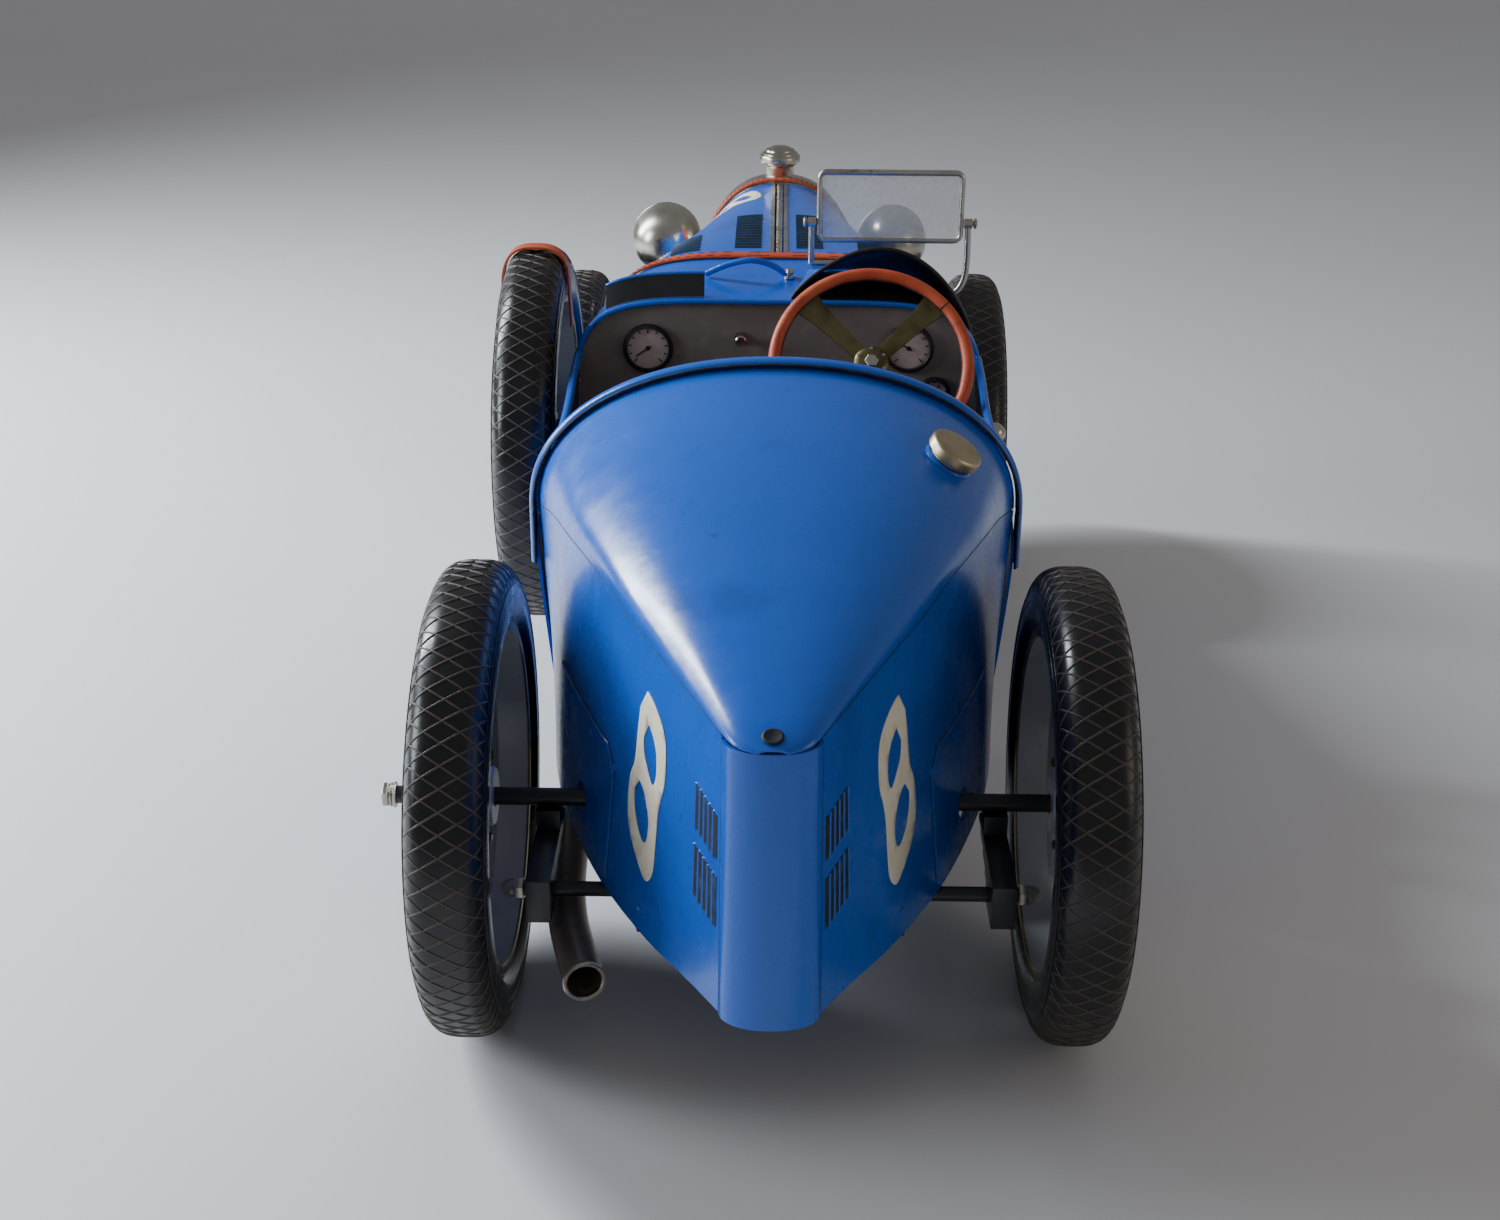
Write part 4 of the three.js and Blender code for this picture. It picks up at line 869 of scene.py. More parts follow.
def build_windscreen():
    left, right, bottom, top, y, pivot = 31, 153, 430, 491, 470, 447
    bar = 2.2
    ring = rounded(left + bar, right - bar, bottom + bar, top - bar, 6)
    edge = [(x, y, z) for x, z in ring]
    frame_bar = sweep("frame_bar", edge, bar, 12, closed=True, across=AHEAD)
    cap = [(x, y, top - 2.6) for x in steps(left + 6, right - 6, 8)]
    parts = [frame_bar, sweep("cap", cap, 2.5, 12)]
    stand_for(joined("windscreen_frame_finish", parts), NICKEL, "windscreen_frame")
    outline = rounded(left + 4.8, right - 4.8, bottom + 4.8, top - 4.8, 3.2)
    pane = sheet_across("windscreen_glass_finish", outline, y - 1, y + 1)
    stand_for(pane, GLASS, "windscreen_glass")

    foot = [(x, y, front_skin(x, y) + 3.6) for x in steps(left - 4, 112, 10)]
    outer = right + 3.5
    bend = [(132, y, front_skin(132, y) + 12), (146, y, 388), (outer, y, 405), (outer, y, pivot + 3)]
    path = smooth_path([*foot[::2], *bend], 5)
    parts = [sweep("foot", path, 2.6, 12, across=AHEAD)]
    post = [(left - 4, y, foot[0][2]), (left - 4, y, pivot + 3)]
    parts.append(sweep("post", post, 2.6, 12, across=AHEAD))
    screw = [(0, 0), (4, 0), (4, 6.6), (2.2, 7), (2.2, 7.6), (4.2, 8.2), (4.4, 9.6), (3, 10.6), (0, 10.8)]
    for x, reach in ((left - 0.5, -1), (right + 0.5, 1)):
        parts.append(turned("knob", screw, 24, spot(x, y, pivot), (reach, 0, 0)))
    stand_for(joined("windscreen_posts_finish", parts), NICKEL, "windscreen_posts")


# ------------------------------------------------------------------ bonnet and radiator
def hinge_z(y):
    return curve(TOP_Z, y) - 2.4


def split_angle(y):
    rise = (SPLIT_Z - SHOULDER_Z) / (curve(TOP_Z, y) - SHOULDER_Z)
    return math.asin(rise ** (curve(ARCH_POWER, y) / 2))


def build_bonnet():
    ys = steps(SCUTTLE_END + 0.3, BONNET_END - 0.3, 32)
    for label, side in SIDES:
        def top_row(y, inset):
            arch = front_arch(y, -inset, steps(split_angle(y), math.pi / 2, 32))
            return [(side * max(x, 4), y, z) for x, _, z in arch[:-1]] + [(side * 4, y, arch[-1][2])]

        def side_row(y, inset):
            half = curve(SHOULDER_HALF, y)
            outline = [(178, half - 4), (SHOULDER_Z, half), (288.8, front_arch(y, 0, [split_angle(y)])[0][0])]
            return [(side * (curve(outline, z) - inset), y, z) for z in steps(178, 288.8, 12)]

        body = f"bonnet_{label}_half"
        top = body_sheet(f"bonnet_{label}_finish", top_row, ys)
        stand_for(top, BLUE, f"bonnet_{label}")
        lined(top, BLACK, lambda normal, at: normal.z < -0.15)
        lower = body_sheet(f"engine_side_{label}_finish", side_row, ys)
        stand_for(lower, BLUE, f"engine_side_{label}")
        lined(lower, BLACK, lambda normal, at, s=side: normal.x * s < -0.5)

        # Bonnet-top louvres: slats in the darker blue and dark gaps behind them, both painted shade.
        banks = ((13, 521, 8.8, 15, 38, 1.9, 2.7, 1.0), (9, 518, 7.2, 68, 93, 1.8, 2.5, 0.9))
        slats, gaps = [], []
        for count, first, pitch, near, far, thick, behind, thin in banks:
            for i in range(count):
                y = first + pitch * i
                line = [(side * x, y, front_skin(x, y)) for x in steps(near, far, 6)]
                slats.append(sweep("slat", [(x, y, z - 0.4) for x, y, z in line], thick, 8))
                gaps.append(sweep("gap", [(x, y - behind, z - 0.35) for x, y, z in line], thin, 6))
        louvres("bonnet", label, slats, gaps, PAINTED_SHADE_BLUE, body)
        slats, gaps = [], []
        for i in range(16):
            y = 528 + 12.6 * i
            x = curve(SHOULDER_HALF, y) - 1.6
            upright = [(side * (x + 0.9), y, z) for z in steps(200, 256, 6)]
            slats.append(sweep("slat", upright, 1.9, 8, across=AHEAD))
            # A dark bar behind each slat: painted shade in its slot.
            upright = [(side * (x + 1.1), y - 2.8, z) for z in steps(202, 254, 6)]
            gaps.append(sweep("gap", upright, 1.0, 6, across=AHEAD))
        louvres("engine", label, slats, gaps, BLUE)
        catch = [(0, 0), (5, 0), (5, 1.5), (3, 2.4), (3.6, 4.6), (0, 5.4)]
        catches = []
        for y in (560, 700):
            x = front_arch(y, 0, [split_angle(y)])[0][0]
            catches.append(turned("catch", catch, 20, spot(side * (x + 0.4), y, 277), (side, 0, 0)))
        trim(joined(f"bonnet_catches_{label}", catches), NICKEL)

    for label, side in SIDES:
        leaf = [[[(side * x, y, front_skin(x, y) + lift) for x in (4.2, 5, 7, 7.6)] for y in ys]
                for lift in (0.8, 0)]
        trim(panel(f"hinge_leaf_{label}", *leaf), NICKEL, f"bonnet_{label}_half")

    def on_bonnet(a, b):
        x, y = -44 + 0.5 * b, 717 + 1.1 * a
        return x, y, front_skin(x, y) + 0.3

    trim(painted_figure("bonnet_figure", on_bonnet), CREAM, "bonnet_left_half")

    start, end = SCUTTLE_END + 1, BONNET_END - 1
    parts, count = [], 22
    pitch = (end - start) / count
    barrel = [(0, 0), (2.9, 0), (3.2, 0.4), (3.2, pitch - 1.0), (2.9, pitch - 0.6), (0, pitch - 0.6)]
    along = spot(0, end, hinge_z(end)) - spot(0, start, hinge_z(start))
    for i in range(count):
        y = start + pitch * i
        parts.append(turned("barrel", barrel, 20, spot(0, y, hinge_z(y)), along))
    stand_for(joined("bonnet_hinge_finish", parts), NICKEL, "bonnet_hinge")


def radiator_outline(inset):
    arch = front_arch(RADIATOR_SHAPE_Y, -inset, steps(0, math.pi, 48))
    outline = [(x, z) for x, _, z in arch]
    foot, waist, bottom = 60 - inset, 74 - inset, 150 + inset
    return [*outline, (-waist, 200), (-foot, bottom), (foot, bottom), (waist, 200)]


def build_nose():
    outer, inner = radiator_outline(0), radiator_outline(9)
    depth = [(BONNET_END + 0.3, 0.6), (BONNET_END + 0.9, 0), (RADIATOR_FRONT - 3, 0),
             (RADIATOR_FRONT - 0.8, 1), (RADIATOR_FRONT, 3)]
    rows = [[(x, y, z) for x, z in radiator_outline(inset)] for y, inset in depth]
    rows += [[(x, RADIATOR_FRONT, z) for x, z in radiator_outline(6.5)]]
    rows += [[(x, RADIATOR_FRONT - 2, z) for x, z in inner], [(x, BONNET_END + 0.3, z) for x, z in inner]]
    count = len(outer)
    points = [spot(*p) for row in rows for p in row]
    faces = []
    for r in range(len(rows)):
        after = (r + 1) % len(rows)
        for i in range(count):
            j = (i + 1) % count
            faces.append((r * count + i, r * count + j, after * count + j, after * count + i))
    shell = mesh_piece("shell", points, faces)
    core = sheet_across("core", radiator_outline(8.6), 766, 791)
    stem = box_piece("stem", (-52, 764, 128), (52, 786, 156), 1.0)
    piece = stand_for(joined("radiator_shell_finish", [shell, core, stem]), NICKEL, "radiator_shell")
    lined(piece, BLACK, lambda normal, at: abs(normal.y) > 0.9 and abs(at.y - spot(0, 778, 0).y) < 0.0135)

    bars = []
    for x in steps(-66, 66, 22):
        top = 424 - 9 - 3 - 0.022 * x * x
        bars.append(sweep("bar", [(x, 792, 166 + 0.35 * abs(x)), (x, 792, top)], 1.0, 6, across=AHEAD))
    for z in steps(182, 400, 26):
        half = 70 if z < 330 else 70 * math.sqrt(max(1 - ((z - 330) / 92) ** 2.4, 0.05))
        bars.append(sweep("bar", [(-half, 792, z), (half, 792, z)], 0.8, 6))
    trim(joined("radiator_mesh", bars), STEEL)

    profile = [(0, 0), (14.5, 0), (14.5, 1), (13.6, 1.8), (13.6, 9.6), (14.5, 11), (18.5, 13), (19.5, 14.6),
               (19.5, 19.6), (18.8, 20.8), (17.5, 21.4), (17.3, 22.8), (14.4, 24.4), (14, 25.8), (11.6, 27),
               (7, 28.9), (3, 29.5), (0, 29.5)]
    cap_at = spot(0, RADIATOR_SHAPE_Y, curve(TOP_Z, RADIATOR_SHAPE_Y) + 0.7)
    stand_for(turned("radiator_cap_finish", profile, 48, cap_at, UP), NICKEL, "radiator_cap")
    grips = box_ring("radiator_cap_grips", 16, (18.9, -1.2, 15.2), (19.5, 1.2, 19.2), 0.25, cap_at, "Z")
    trim(grips, NICKEL, "radiator_filler")

    lamps = []
    bowl = [(0, -25), (7, -24.6), (13, -23.2), (19, -20), (24, -15.4), (28.4, -9), (31.4, -2), (33.2, 6),
            (34, 16), (34, 19.6), (33.2, 20.6), (34, 21.6), (34, 25), (32.4, 27), (31, 27), (30, 25.6),
            (0, 25.4)]
    lens = [(29.4, 25.2), (26, 26.4), (17, 27.5), (0, 27.9), (0, 25.2)]
    for label, side in SIDES:
        place = spot(side * LAMP_X, LAMP_Y, LAMP_Z)
        lamps.append(turned("bowl", bowl, 48, place, AHEAD))
        trim(turned(f"lamp_lens_{label}", lens, 40, place, AHEAD), PALE)
    arm = [(LAMP_X, 784, 333), (106, 798, 324), (90, 806, 321)]
    bar = [*[(-x, y, z) for x, y, z in arm], (0, 806, 321), *arm[::-1]]
    lamps.append(sweep("bar", smooth_path(bar, 6), 4, 16))
    stand_for(joined("headlamps_finish", lamps), NICKEL, "headlamps")


# ------------------------------------------------------------------ straps and fittings
def strap_rows(y0, y1, shape_y):
    def row(y, offset):
        arch = front_arch(y, offset, steps(0, math.pi, 60), shape_y(y))
        half = arch[0][0]
        drop = [(half - lerp(1, 0, t), y, lerp(215, SHOULDER_Z, t)) for t in steps(0, 1, 5)[:-1]]
        return [*drop, *arch, *[(-x, y, z) for x, _, z in reversed(drop)]]

    rounding = [(0, 1.6), (0.05, 2.5), (0.14, 2.9), (0.5, 3.0), (0.86, 2.9), (0.95, 2.5), (1, 1.6)]
    outer = [row(lerp(y0, y1, t), offset) for t, offset in rounding]
    inner = [row(lerp(y0, y1, t), 1.1) for t, _ in rounding]
    return outer, inner, row


def build_straps():
    straps = (("rear_strap", 486, 497, lambda y: y), ("front_strap", 752, 763, lambda y: RADIATOR_SHAPE_Y))
    for name, y0, y1, shape_y in straps:
        outer, inner, row = strap_rows(y0, y1, shape_y)
        stand_for(panel(f"{name}_finish", outer, inner), LEATHER, name)
        stitches = []
        for y in (y0 + 1.6, y1 - 1.6):
            line = row(y, 2.95)
            for a, b in zip(line, line[1:]):
                middle = [tuple(lerp(p, q, t) for p, q in zip(a, b)) for t in (0.2, 0.7)]
                if (Vector(a) - Vector(b)).length > 1.2:
                    stitches.append(sweep("stitch", middle, 0.3, 4, across=AHEAD))
        trim(joined(f"{name}_stitches", stitches), SEAM_AND_PAINTED_SHADOW, "chassis")
        for label, side in SIDES:
            x = outer[0][0][0] + 2.6
            ring = [(side * x, y, z) for y, z in rounded(y0 - 2.2, y1 + 2.2, 222, 240, 3)]
            prong = [(side * (x + 1), (y0 + y1) / 2, z) for z in (222, 240)]
            buckle = [
                sweep("buckle", ring, 1.3, 8, closed=True, across=RIGHT),
                sweep("prong", prong, 0.9, 6, across=AHEAD)]
            trim(joined(f"{name}_buckle_{label}", buckle), NICKEL)

    def strip(offset):
        half, top = TYRE_WIDTH / 2 + offset, SPARE_Z + TYRE_R + offset
        over = [arch_point(half, SPARE_Z + RIM_R + 4, top, 2.8, angle) for angle in steps(0.45, math.pi, 32)]
        line = [(half, SPARE_Z + 96), *over]
        return [[(SPARE_X + x, SPARE_Y + 8 * t, z) for x, z in line] for t in steps(-1, 1, 6)]

    stand_for(panel("spare_strap_finish", strip(3.8), strip(2)), LEATHER, "spare_strap")


def build_fittings():
    x, y = 116, 98
    fall_x = deck_height(x - 1, y) - deck_height(x + 1, y)
    fall_y = deck_height(x, y - 1) - deck_height(x, y + 1)
    normal = Vector((fall_x, fall_y, 2)).normalized()
    point = spot(x, y, deck_height(x, y))
    profile = [(0, 0), (15, 0), (15, 1.6), (18.2, 2.6), (19, 3.4), (19, 8.4), (18.6, 9.6), (17.5, 10.5),
               (16, 10.9), (8, 11.2), (0, 11.3)]
    seat = point + normal * 2.4 * MM
    stand_for(turned("fuel_cap_finish", profile, 48, seat, normal), CAP, "fuel_cap")
    collar = [(0, -3), (17.6, -3), (17.6, 0.4), (16.6, 1.8), (15.4, 2.1), (0, 2.1)]
    trim(turned("fuel_neck", collar, 40, point, normal), BLUE)

    path = smooth_path([(-140, 420, 97), (-142, 300, 96), (-142, 120, 95.5), (-141, 20, 95), (-134, -50, 95),
                        (-116, -126, 97)], 12)
    rings = [(13.2, path), (11.6, list(reversed(path)))]
    points, faces, sides, rows = [], [], 36, []
    for radius, line in rings:
        for i, p in enumerate(line):
            along = (line[min(i + 1, len(line) - 1)] - line[max(i - 1, 0)]).normalized()
            side = along.cross(Vector(UP)).normalized()
            if radius < 13:
                side = -side
            up = (Vector(UP) - along * along.z).normalized()
            start = len(points)
            points += [spot(*(p + (side * math.cos(a) + up * math.sin(a)) * radius))
                       for a in around(sides)]
            rows.append(start)
    for a, b in zip(rows, rows[1:] + rows[:1]):
        for k in range(sides):
            faces.append((a + k, a + (k + 1) % sides, b + (k + 1) % sides, b + k))
    pipe = mesh_piece("exhaust_pipe_finish", points, faces)
    heat = pipe.data.attributes.new("heat", "FLOAT", "POINT")
    for vertex, value in zip(pipe.data.vertices, heat.data):
        value.value = min(max((spot(0, -66, 0).y - vertex.co.y) / 0.04, 0), 1)
    stand_for(pipe, EXHAUST, "exhaust_pipe")
    lip_at = path[-1]
    back = (path[-1] - path[-2]).normalized()
    lip = [(11.0, -3.4), (13.4, -3.4), (13.9, -1.2), (13.2, 0), (11.6, 0), (11.0, -0.8), (11.0, -3.4)]
    trim(turned("exhaust_lip", lip, 40, spot(*lip_at), back), NICKEL)
    # A dark disc a little way inside the pipe's open end: painted shade for the pipe's inside.
    disc = [(0, 0), (11.3, 0), (11.3, 0.6), (0, 0.6)]
    pipe_shade = turned("exhaust_pipe_shade", disc, 32, spot(*(lip_at - back * 46)), back)
    trim(pipe_shade, SEAM_AND_PAINTED_SHADOW)

    boss = [(0, 0), (7, 0), (7.4, 1), (7.4, 9), (6, 11), (3, 11.4), (0, 11.4)]
    lever = [turned("boss", boss, 28, spot(170.5, 330, 180), RIGHT)]
    lever_x, lean = 178.5, (0, 0.36, 0.93)
    shaft = [(lever_x, y, z) for y, z in ((330, 180), (345, 214), (363, 254), (378, 288))]
    lever.append(sweep("lever", smooth_path(shaft, 4), 3.4, 16, across=RIGHT))
    ball = [(9 * math.sin(a), -9 * math.cos(a)) for a in steps(0, math.pi, 20)]
    lever.append(turned("ball", ball, 32, spot(lever_x, 381, 294), lean))
    stand_for(joined("handbrake_lever_finish", lever), NICKEL, "handbrake_lever")
    ferrule = [(3.4, 0), (4.6, 0), (5.2, 2), (5.2, 12), (4.4, 14), (3.4, 14)]
    collar = turned("handbrake_ferrule", ferrule, 24, spot(lever_x, 372.6, 275.5), lean)
    trim(collar, RUSTY, "handbrake")


# ------------------------------------------------------------------ wheels
TREAD_R = 158.6
AROUND, LATTICE_ROWS = 72, 6


def tyre_section(angle):
    """(radius, distance across) on the tyre's outside, from one side to the other."""
    x = (TYRE_WIDTH / 2 - 0.1) * math.copysign(abs(math.cos(angle)) ** (2 / 3.2), math.cos(angle))
    base = RIM_R + 4
    return base + (TREAD_R - base) * max(math.sin(angle), 0) ** (2 / 3.0), x


def section_point(distance, table):
    """Point and outward direction at a distance along the tyre's section."""
    for (d0, r0, x0), (d1, r1, x1) in zip(table, table[1:]):
        if distance <= d1 or (d1, r1, x1) == table[-1]:
            t = (distance - d0) / max(d1 - d0, 1e-9)
            along = Vector((x1 - x0, r1 - r0)).normalized()
            return lerp(r0, r1, t), lerp(x0, x1, t), Vector((along.y, -along.x))


def tyre_mesh():
    """A tyre on the origin with its axle along x: a smooth carcass under a raised diamond lattice."""
    section = [tyre_section(a) for a in steps(0, math.pi, 40)]
    bead = (TYRE_WIDTH / 2) * 0.82
    profile = [*section, (RIM_R + 1.6, -bead), (RIM_R + 0.3, -bead + 0.8), (RIM_R + 0.3, bead - 0.8),
               (RIM_R + 1.6, bead), section[0]]
    carcass = turned("carcass", profile, 112, Vector((0, 0, 0)), RIGHT)
    table, total = [], 0.0
    for i, (r, x) in enumerate(section):
        if i:
            total += math.dist((r, x), section[i - 1])
        table.append((total, r, x))
    low, high = total * 0.17, total * 0.83
    span = LATTICE_ROWS * math.pi / AROUND
    points, faces = [], []
    lengthwise = 40
    half, rise = 0.85, 0.6
    turn = Vector(UP).rotation_difference(Vector(RIGHT)).to_matrix()
    for direction in (-1, 1):
        for line in range(AROUND):
            start = len(points)
            for k in range(lengthwise + 1):
                t = k / lengthwise
                theta = 2 * math.pi * line / AROUND + direction * span * (t - 0.5)
                radius = section_point(lerp(low, high, t), table)[0]
                step_round = direction * span / lengthwise * radius
                ahead = Vector(((high - low) / lengthwise, step_round)).normalized()
                fade = min(1.0, 8 * t, 8 * (1 - t))
                for offset, up in ((-half, -0.25), (-half * 0.45, rise * fade), (half * 0.45, rise * fade),
                                   (half, -0.25)):
                    slide = Vector((-ahead.y, ahead.x)) * offset
                    r, px, normal = section_point(lerp(low, high, t) + slide.x, table)
                    r += normal.y * up
                    px += normal.x * up
                    angle = theta + slide.y / radius
                    points.append(turn @ Vector((r * math.cos(angle), r * math.sin(angle), px)) * MM)
            for k in range(lengthwise):
                for j in range(3):
                    a = start + k * 4 + j
                    faces.append((a, a + 1, a + 5, a + 4))
    lattice = mesh_piece("lattice", points, faces)
    lattice.data.materials.append(TYRE)
    lattice.data.materials.append(RIDGE)
    carcass.data.materials.append(TYRE)
    for face in lattice.data.polygons:
        face.material_index = 1
    rings = []
    for side in (-1, 1):
        for r, x in ((136, 25.0), (143, 24.4)):
            ring = [Vector((side * x, r * math.cos(a), r * math.sin(a))) for a in around(96)]
            bar = sweep("ring", ring, 0.5, 6, closed=True, across=RIGHT)
            bar.data.transform(Matrix.Translation(-ORIGIN))
            rings.append(bar)
    whole = joined("tyre", [carcass, lattice, *rings])
    whole.data.materials.append(TYRE)
    whole.data.materials.append(RIDGE)
    whole.data.shade_smooth()
    return whole


def wheel_mesh(outward):
    """Rim, dished disc and hub on the origin."""
    bead = (TYRE_WIDTH / 2) * 0.8
    r = RIM_R
    profile = [
        (r - 9, bead), (r - 8, bead + 0.6), (r - 3, bead + 0.2), (r - 1.2, bead - 1), (r - 1.2, -bead + 1),
        (r - 3, -bead - 0.2), (r - 8, -bead - 0.6), (r - 9, -bead), (r - 9.4, -6), (r - 11, 1), (r - 17, 3.4),
        (r - 24, 3.2), (60, 6.2), (34, 8.2), (26, 7.8), (21.4, 1), (20, -10.6), (18.8, -12), (7.5, -12),
        (6.4, -11), (6.4, 25), (7.5, 26), (17, 26), (18, 25), (21, 16), (26, 13.4), (34, 13.2), (60, 11.2),
        (r - 24, 8.2), (r - 14, 8.4), (r - 9.6, 12), (r - 9, bead)]
    return turned("wheel", profile, 96, Vector((0, 0, 0)), (outward, 0, 0))


def wheel_details(outward):
    """The rim edges, coloured brass as a painted reflection of warm light, and the hub bolts."""
    bead = (TYRE_WIDTH / 2) * 0.8
    parts = []
    edge = ((-9.2, 0.1), (-8.6, 1.4), (-5.8, 2), (-3.2, 1.4), (-2.8, 0.1), (-9.2, 0.1))
    lip = [(RIM_R + inwards, height) for inwards, height in edge]
    bolt = [(0, 0), (3.2, 0), (3.2, 1.6), (2.4, 2.4), (0, 2.6)]
    # Brass-coloured rings on the rim's edges: painted warm reflection.
    for x in (-1, 1):
        parts.append(turned("lip", lip, 96, Vector((x * (bead - 0.6) * MM, 0, 0)), (x, 0, 0)))
    for a in around(6):
        for face, x in ((outward, 12.9), (-outward, -8.0)):
            base = Vector((outward * x, 27.5 * math.cos(a), 27.5 * math.sin(a))) * MM
            parts.append(turned("bolt", bolt, 12, base, (face, 0, 0)))
    return joined("details", parts)


def build_wheels():
    tyre = tyre_mesh()
    wheels = {side: (wheel_mesh(side), wheel_details(side)) for side in (-1, 1)}
    ends = [(f"{end}_{label}", side) for end in ("rear", "front") for label, side in SIDES]
    for label, side in (*ends, ("spare", -1)):
        place = centre(f"tyre_{label}")
        for kind, source, material in (("tyre", tyre, None), ("wheel", wheels[side][0], WHEEL),
                                       ("details", wheels[side][1], BRASS_AND_WARM_REFLECTION)):
            piece = new_object(f"{kind}_{label}_finish", source.data.copy())
            piece.location = place
            bpy.context.view_layer.update()
            node = f"{'tyre' if kind == 'tyre' else 'wheel'}_{label}"
            if material:
                piece.data.materials.append(material)
                piece.data.shade_smooth()
                keep_sharp(piece, 40)
            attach(piece, BODY_OF[node])
            if kind != "details":
                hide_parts(node)
    for piece in (tyre, *wheels[-1], *wheels[1]):
        bpy.data.objects.remove(piece)


def build_axles():
    r, axle_at = 6.0, spot(0, 0, TYRE_R)
    shaft = [(0, -262), (5, -262), (r, -261), (r, -3), (14, -3), (14, -1.5), (18, -1.5), (18, 1.5), (14, 1.5),
             (14, 3), (r, 3), (r, 226), (6.8, 226), (9, 227), (9, 233), (7, 234.6), (5, 236), (0, 236)]
    piece = stand_for(turned("rear_axle_finish", shaft, 36, axle_at, RIGHT), BLACK, "rear_axle")
    lined(piece, RUSTY, lambda normal, at: at.x < spot(-222, 0, 0).x)
    nut = []
    for a, b, rim, sides in ((-261.6, -257.4, 8.9, 6), (-257, -255, 8.4, 18), (-254.6, -252.4, 8.9, 18)):
        ring = [(r, a), (rim - 0.8, a), (rim, a + 0.9), (rim, b - 0.9), (rim - 0.8, b), (r, b)]
        nut.append(turned("nut", ring, sides, axle_at, RIGHT))
    trim(joined("axle_nut_left", nut), NICKEL, "axle")
    teeth = box_ring("axle_sprocket_teeth", 18, (-1.2, -1.6, 17.2), (1.2, 1.6, 20.6), 0.4, axle_at, "X")
    trim(teeth, STEEL, "axle")

    half, rod_at = 162, spot(0, CROSS_ROD_Y, CROSS_ROD_Z)
    rod = [(0, -half), (5, -half), (5, half), (0, half)]
    stand_for(turned("rear_cross_rod_finish", rod, 28, rod_at, RIGHT), BLACK, "rear_cross_rod")
    hexagon = [(5, 0), (7, 0), (7.5, 0.8), (7.5, 6.4), (7, 7.2), (5, 7.2)]
    dome = [(6.2, 7), (6.2, 9), (5.6, 11.6), (4.2, 14), (2.2, 15.5), (0, 15.9)]
    nuts = []
    for side in (-1, 1):
        for profile, sides in ((hexagon, 6), (dome, 28)):
            placed = [(radius, half + height) for radius, height in profile]
            nuts.append(turned("nut", placed, sides, rod_at, (side, 0, 0)))
    trim(joined("cross_rod_nuts", nuts), NICKEL)

    for node in ("rear_spring_left", "rear_spring_right", "axle_carrier", "pedal_bracket", "rail_left",
                 "rail_right", "front_axle"):
        refined(node, BLACK, bevel=0.7)
    for node in ("knuckle_left", "knuckle_right", "tie_rod", "crank"):
        refined(node, STEEL, bevel=0.4)
    for label, side in SIDES:
        clamps = []
        for y in (-6.5, 6.5):
            bolt = [(0, -3), (2.4, -3), (2.4, 20), (1.6, 21), (0, 21)]
            clamps.append(turned("clamp", bolt, 14, spot(side * 150, y, 119.6), UP))
            nut = [(2.4, 0), (4, 0), (4, 3.4), (2.4, 3.4)]
            clamps.append(turned("clamp_nut", nut, 6, spot(side * 150, y, 118.6), UP))
        trim(joined(f"spring_clamp_{label}", clamps), STEEL)
        leaves = []
        for i in range(4):
            reach = 96 - 20 * i
            line = [(FRONT_AXLE_Y + reach * t, 128.6 - 3.6 * i - 7 * t ** 2 * (reach / 96) ** 2)
                    for t in steps(-1, 1, 20)]
            leaves.append(leaf_panel(f"front_leaf_{label}_{i}", line, side * 86))
        trim(joined(f"front_spring_{label}", leaves), BLACK)


def leaf_panel(name, line, x):
    """One flat spring leaf 16 mm wide."""
    outer = [[(x + w, y, z) for w in (-8, -7.4, 7.4, 8)] for y, z in line]
    inner = [[(x + w, y, z - 2.9) for w in (-8, -7.4, 7.4, 8)] for y, z in line]
    return panel(name, outer, inner)


# ------------------------------------------------------------------ steering and drive
TILT = math.radians(38)
HUB, STEER_R = (73, 325, 368), 75.5


def column_axis():
    return Vector((0, math.cos(TILT), -math.sin(TILT)))


def column_point(distance):
    return tuple(Vector(HUB) + column_axis() * distance)


def wheel_plane(x, y, out=0.0):
    """A point on the steering wheel: x to the right, y up in its plane, out towards the driver."""
    axis = column_axis()
    up = Vector((0, math.sin(TILT), math.cos(TILT)))
    return tuple(Vector(HUB) + Vector((x, 0, 0)) + up * y - axis * out)


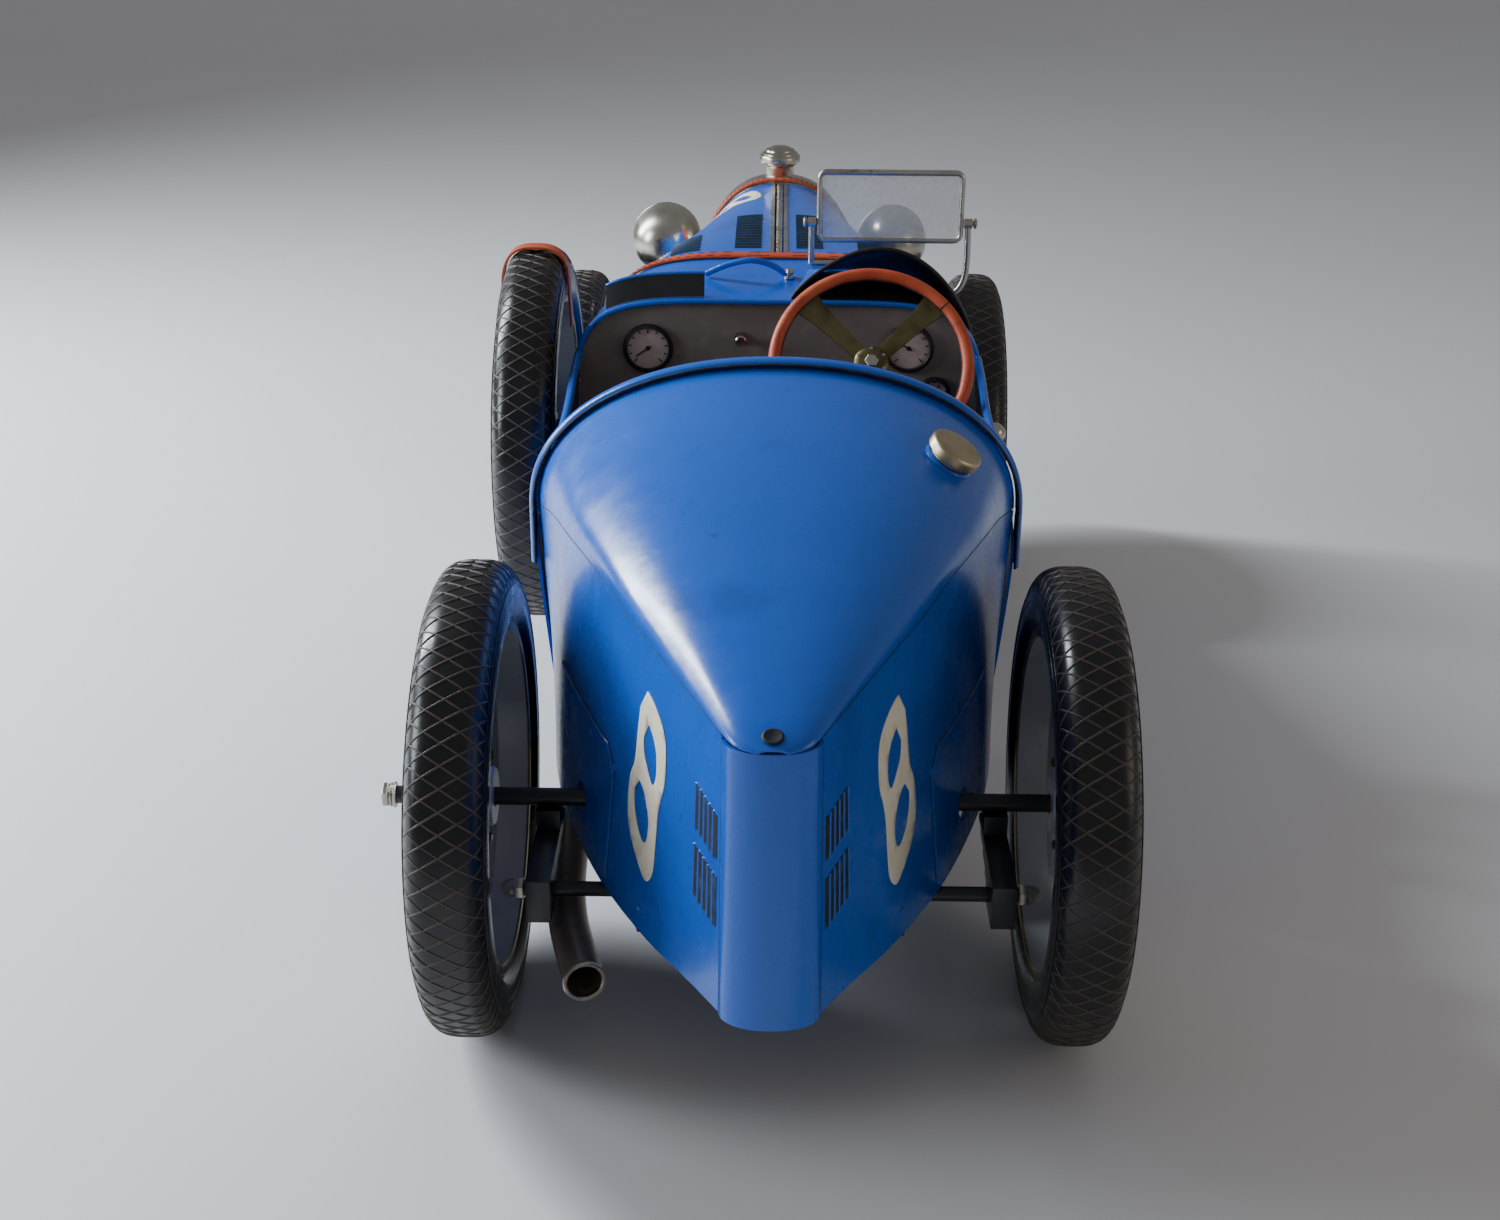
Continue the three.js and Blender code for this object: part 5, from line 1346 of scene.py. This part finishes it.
def build_steering():
    radius, section = STEER_R, 4.95
    points, faces, count, sides = [], [], 160, 24
    for i, a in enumerate(around(count)):
        for k, b in enumerate(around(sides)):
            grip = section * (1 - 0.05 * (math.cos(b) < -0.2) * (0.5 + 0.5 * math.cos(a * 20)))
            r = radius + grip * math.cos(b)
            points.append(spot(*wheel_plane(r * math.cos(a), r * math.sin(a), grip * math.sin(b))))
            j, m = (i + 1) % count, (k + 1) % sides
            faces.append((i * sides + k, j * sides + k, j * sides + m, i * sides + m))
    stand_for(mesh_piece("steering_rim_finish", points, faces), LEATHER, "steering_rim")
    seam_at = math.radians(40)
    ring = []
    for b in around(24):
        r = radius + 5 * math.cos(b)
        ring.append(wheel_plane(r * math.cos(seam_at), r * math.sin(seam_at), 5 * math.sin(b)))
    round_it = (-0.64, 0.77 * math.sin(TILT), 0.77 * math.cos(TILT))
    inner = [wheel_plane(70.6 * math.cos(a), 70.6 * math.sin(a), 0.9) for a in around(120)]
    for name, path, thick, across in (("rim_seam", ring, 0.55, round_it),
                                      ("rim_stitching", inner, 0.5, tuple(column_axis()))):
        line = sweep(name, path, thick, 6, closed=True, across=across)
        trim(line, SEAM_AND_PAINTED_SHADOW, "steering_wheel")

    reach = STEER_R - 5 - 0.8
    parts = []

    def spoke_row(a, t, out):
        length, width = 8 + (reach - 8) * t, lerp(5.6, 8.4, t) + 2.6 * t ** 6
        return [wheel_plane(length * math.cos(a) - w * width * math.sin(a),
                            length * math.sin(a) + w * width * math.cos(a), out * (1 - 0.25 * abs(w) ** 6))
                for w in (-1, -0.92, -0.5, 0, 0.5, 0.92, 1)]

    for angle in (45, 135, 225, 315):
        faces_of = [[spoke_row(math.radians(angle), t, out) for t in steps(0, 1, 12)] for out in (1.5, -1.5)]
        parts.append(panel("spoke", *faces_of))
    hub = [(0, -6), (9, -6), (12, -5), (13.4, -3.6), (13.4, 4), (12.6, 5), (6.2, 5.2), (6, 6), (6, 165),
           (0, 165)]
    parts.append(turned("hub", hub, 40, spot(*HUB), column_axis()))
    stand_for(joined("steering_spider_finish", parts), BRASS_AND_WARM_REFLECTION, "steering_spider")
    nut = [(0, 0), (5.6, 0), (5.6, 2.6), (4.8, 3.4), (0, 3.6)]
    bolts = [turned("nut", nut, 6, spot(*wheel_plane(0, 0, 5.8)), -column_axis())]
    for i in range(6):
        a = math.radians(60 * i + 30)
        place = spot(*wheel_plane(11 * math.cos(a), 11 * math.sin(a), 4.9))
        bolts.append(turned("rivet", [(0, 0), (1.6, 0), (1.2, 1.4), (0, 1.7)], 12, place, -column_axis()))
    trim(joined("steering_bolts", bolts), NICKEL, "steering_wheel")


def build_drive():
    for label in ("left", "right"):
        refined(f"pedal_{label}", PEDAL, bevel=2.0)
        low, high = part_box(f"pedal_{label}")
        ribs = []
        for i in range(6):
            y = lerp(low.y, high.y, (i + 0.7) / 6.4) - ORIGIN.y
            for z in (high.z, low.z):
                z_mm = (z - ORIGIN.z) / MM
                a, b = (low.x - ORIGIN.x) / MM + 2, (high.x - ORIGIN.x) / MM - 2
                ribs.append(sweep("rib", [(a, y / MM, z_mm), (b, y / MM, z_mm)], 1.2, 8))
        trim(joined(f"pedal_ribs_{label}", ribs), PEDAL, f"{label}_pedal")

    # the crank's centre, and the sprockets' radii out to the middle of the chain
    y1, z1, big, small = 560, 168, 26 + 3.3, 18 + 3.3
    length = math.hypot(y1, z1 - TYRE_R)
    lean, wrap = math.atan2(z1 - TYRE_R, y1), math.asin((big - small) / length)
    quarter = math.pi / 2 + wrap
    loop = [(y1 + big * math.cos(a), z1 + big * math.sin(a))
            for a in steps(lean - quarter, lean + quarter, 12)]
    loop += [(small * math.cos(a), TYRE_R + small * math.sin(a))
             for a in steps(lean + quarter, lean + 2 * math.pi - quarter, 12)]
    links, pitch, carried = [], 12.7, 0.0
    for (ya, za), (yb, zb) in zip(loop, loop[1:] + loop[:1]):
        gap = math.dist((ya, za), (yb, zb))
        while carried < gap:
            t = carried / gap
            links.append((lerp(ya, yb, t), lerp(za, zb, t)))
            carried += pitch
        carried -= gap
    parts = []
    for i, (y, z) in enumerate(links):
        yn, zn = links[(i + 1) % len(links)]
        parts.append(sweep("roller", [(-2.3, y, z), (2.3, y, z)], 2.1, 8))
        width = 2.4 if i % 2 else 1.6
        for x in (-width, width):
            parts.append(sweep("plate", [(x, y, z), (x, yn, zn)], 1.5, 6, across=RIGHT))
    for part in parts:
        for vertex in part.data.vertices:
            vertex.co.x = ORIGIN.x + min(max(vertex.co.x - ORIGIN.x, -0.0025), 0.0025)
    stand_for(joined("chain_finish", parts), STEEL, "chain")


# ------------------------------------------------------------------ room, lights and camera
def area_light(name, place, target, size, power, colour):
    data = bpy.data.lights.new(name, "AREA")
    data.shape = "RECTANGLE"
    data.size, data.size_y = size
    data.energy = power
    data.color = colour
    lamp = new_object(name, data)
    lamp.location = place
    lamp.rotation_euler = (Vector(target) - Vector(place)).to_track_quat("-Z", "Y").to_euler()


def build_room():
    floor_data = bpy.data.meshes.new("floor")
    floor_data.from_pydata([(-60, -60, 0), (60, -60, 0), (60, 70, 0), (-60, 70, 0)], [], [(0, 1, 2, 3)])
    floor = new_object("floor", floor_data)
    floor.data.materials.append(finish_material(
        "pale_floor", (0.8, 0.79, 0.8), (0.5, 0.65), layers=(((0.76, 0.75, 0.76), 0.6, 0.4, 0.7),),
        grain=((60.0, 0.0001),)))
    world = bpy.data.worlds.new("soft_room")
    world.use_nodes = True
    world.node_tree.nodes["Background"].inputs["Color"].default_value = (0.74, 0.74, 0.76, 1)
    world.node_tree.nodes["Background"].inputs["Strength"].default_value = 0.3
    bpy.context.scene.world = world
    area_light("window", (-1.9, 0.9, 1.5), (0, -0.2, 0.2), (0.2, 1.7), 100, (0.84, 0.93, 1.0))
    area_light("left", (-2.1, -0.45, 0.95), (0, -0.2, 0.15), (0.8, 0.8), 30, (0.84, 0.93, 1.0))
    area_light("right", (1.9, -0.9, 0.9), (0.3, -0.1, 0), (0.9, 0.9), 4, (1.0, 0.86, 0.68))


def build_camera():
    data = bpy.data.cameras.new("camera")
    data.lens = 48
    data.sensor_width = 36
    camera = new_object("camera", data)
    aim = Matrix.Rotation(math.radians(0.76), 4, "Z") @ Matrix.Rotation(math.radians(66.62), 4, "X")
    aim = aim @ Matrix.Rotation(math.radians(0.42), 4, "Z")
    camera.matrix_world = Matrix.Translation(spot(0, -1183, 810)) @ aim
    bpy.context.scene.camera = camera


build_tail()
build_cockpit()
build_seat()
build_scuttle()
build_windscreen()
build_bonnet()
build_nose()
build_straps()
build_fittings()
build_wheels()
build_axles()
build_steering()
build_drive()
build_room()
build_camera()
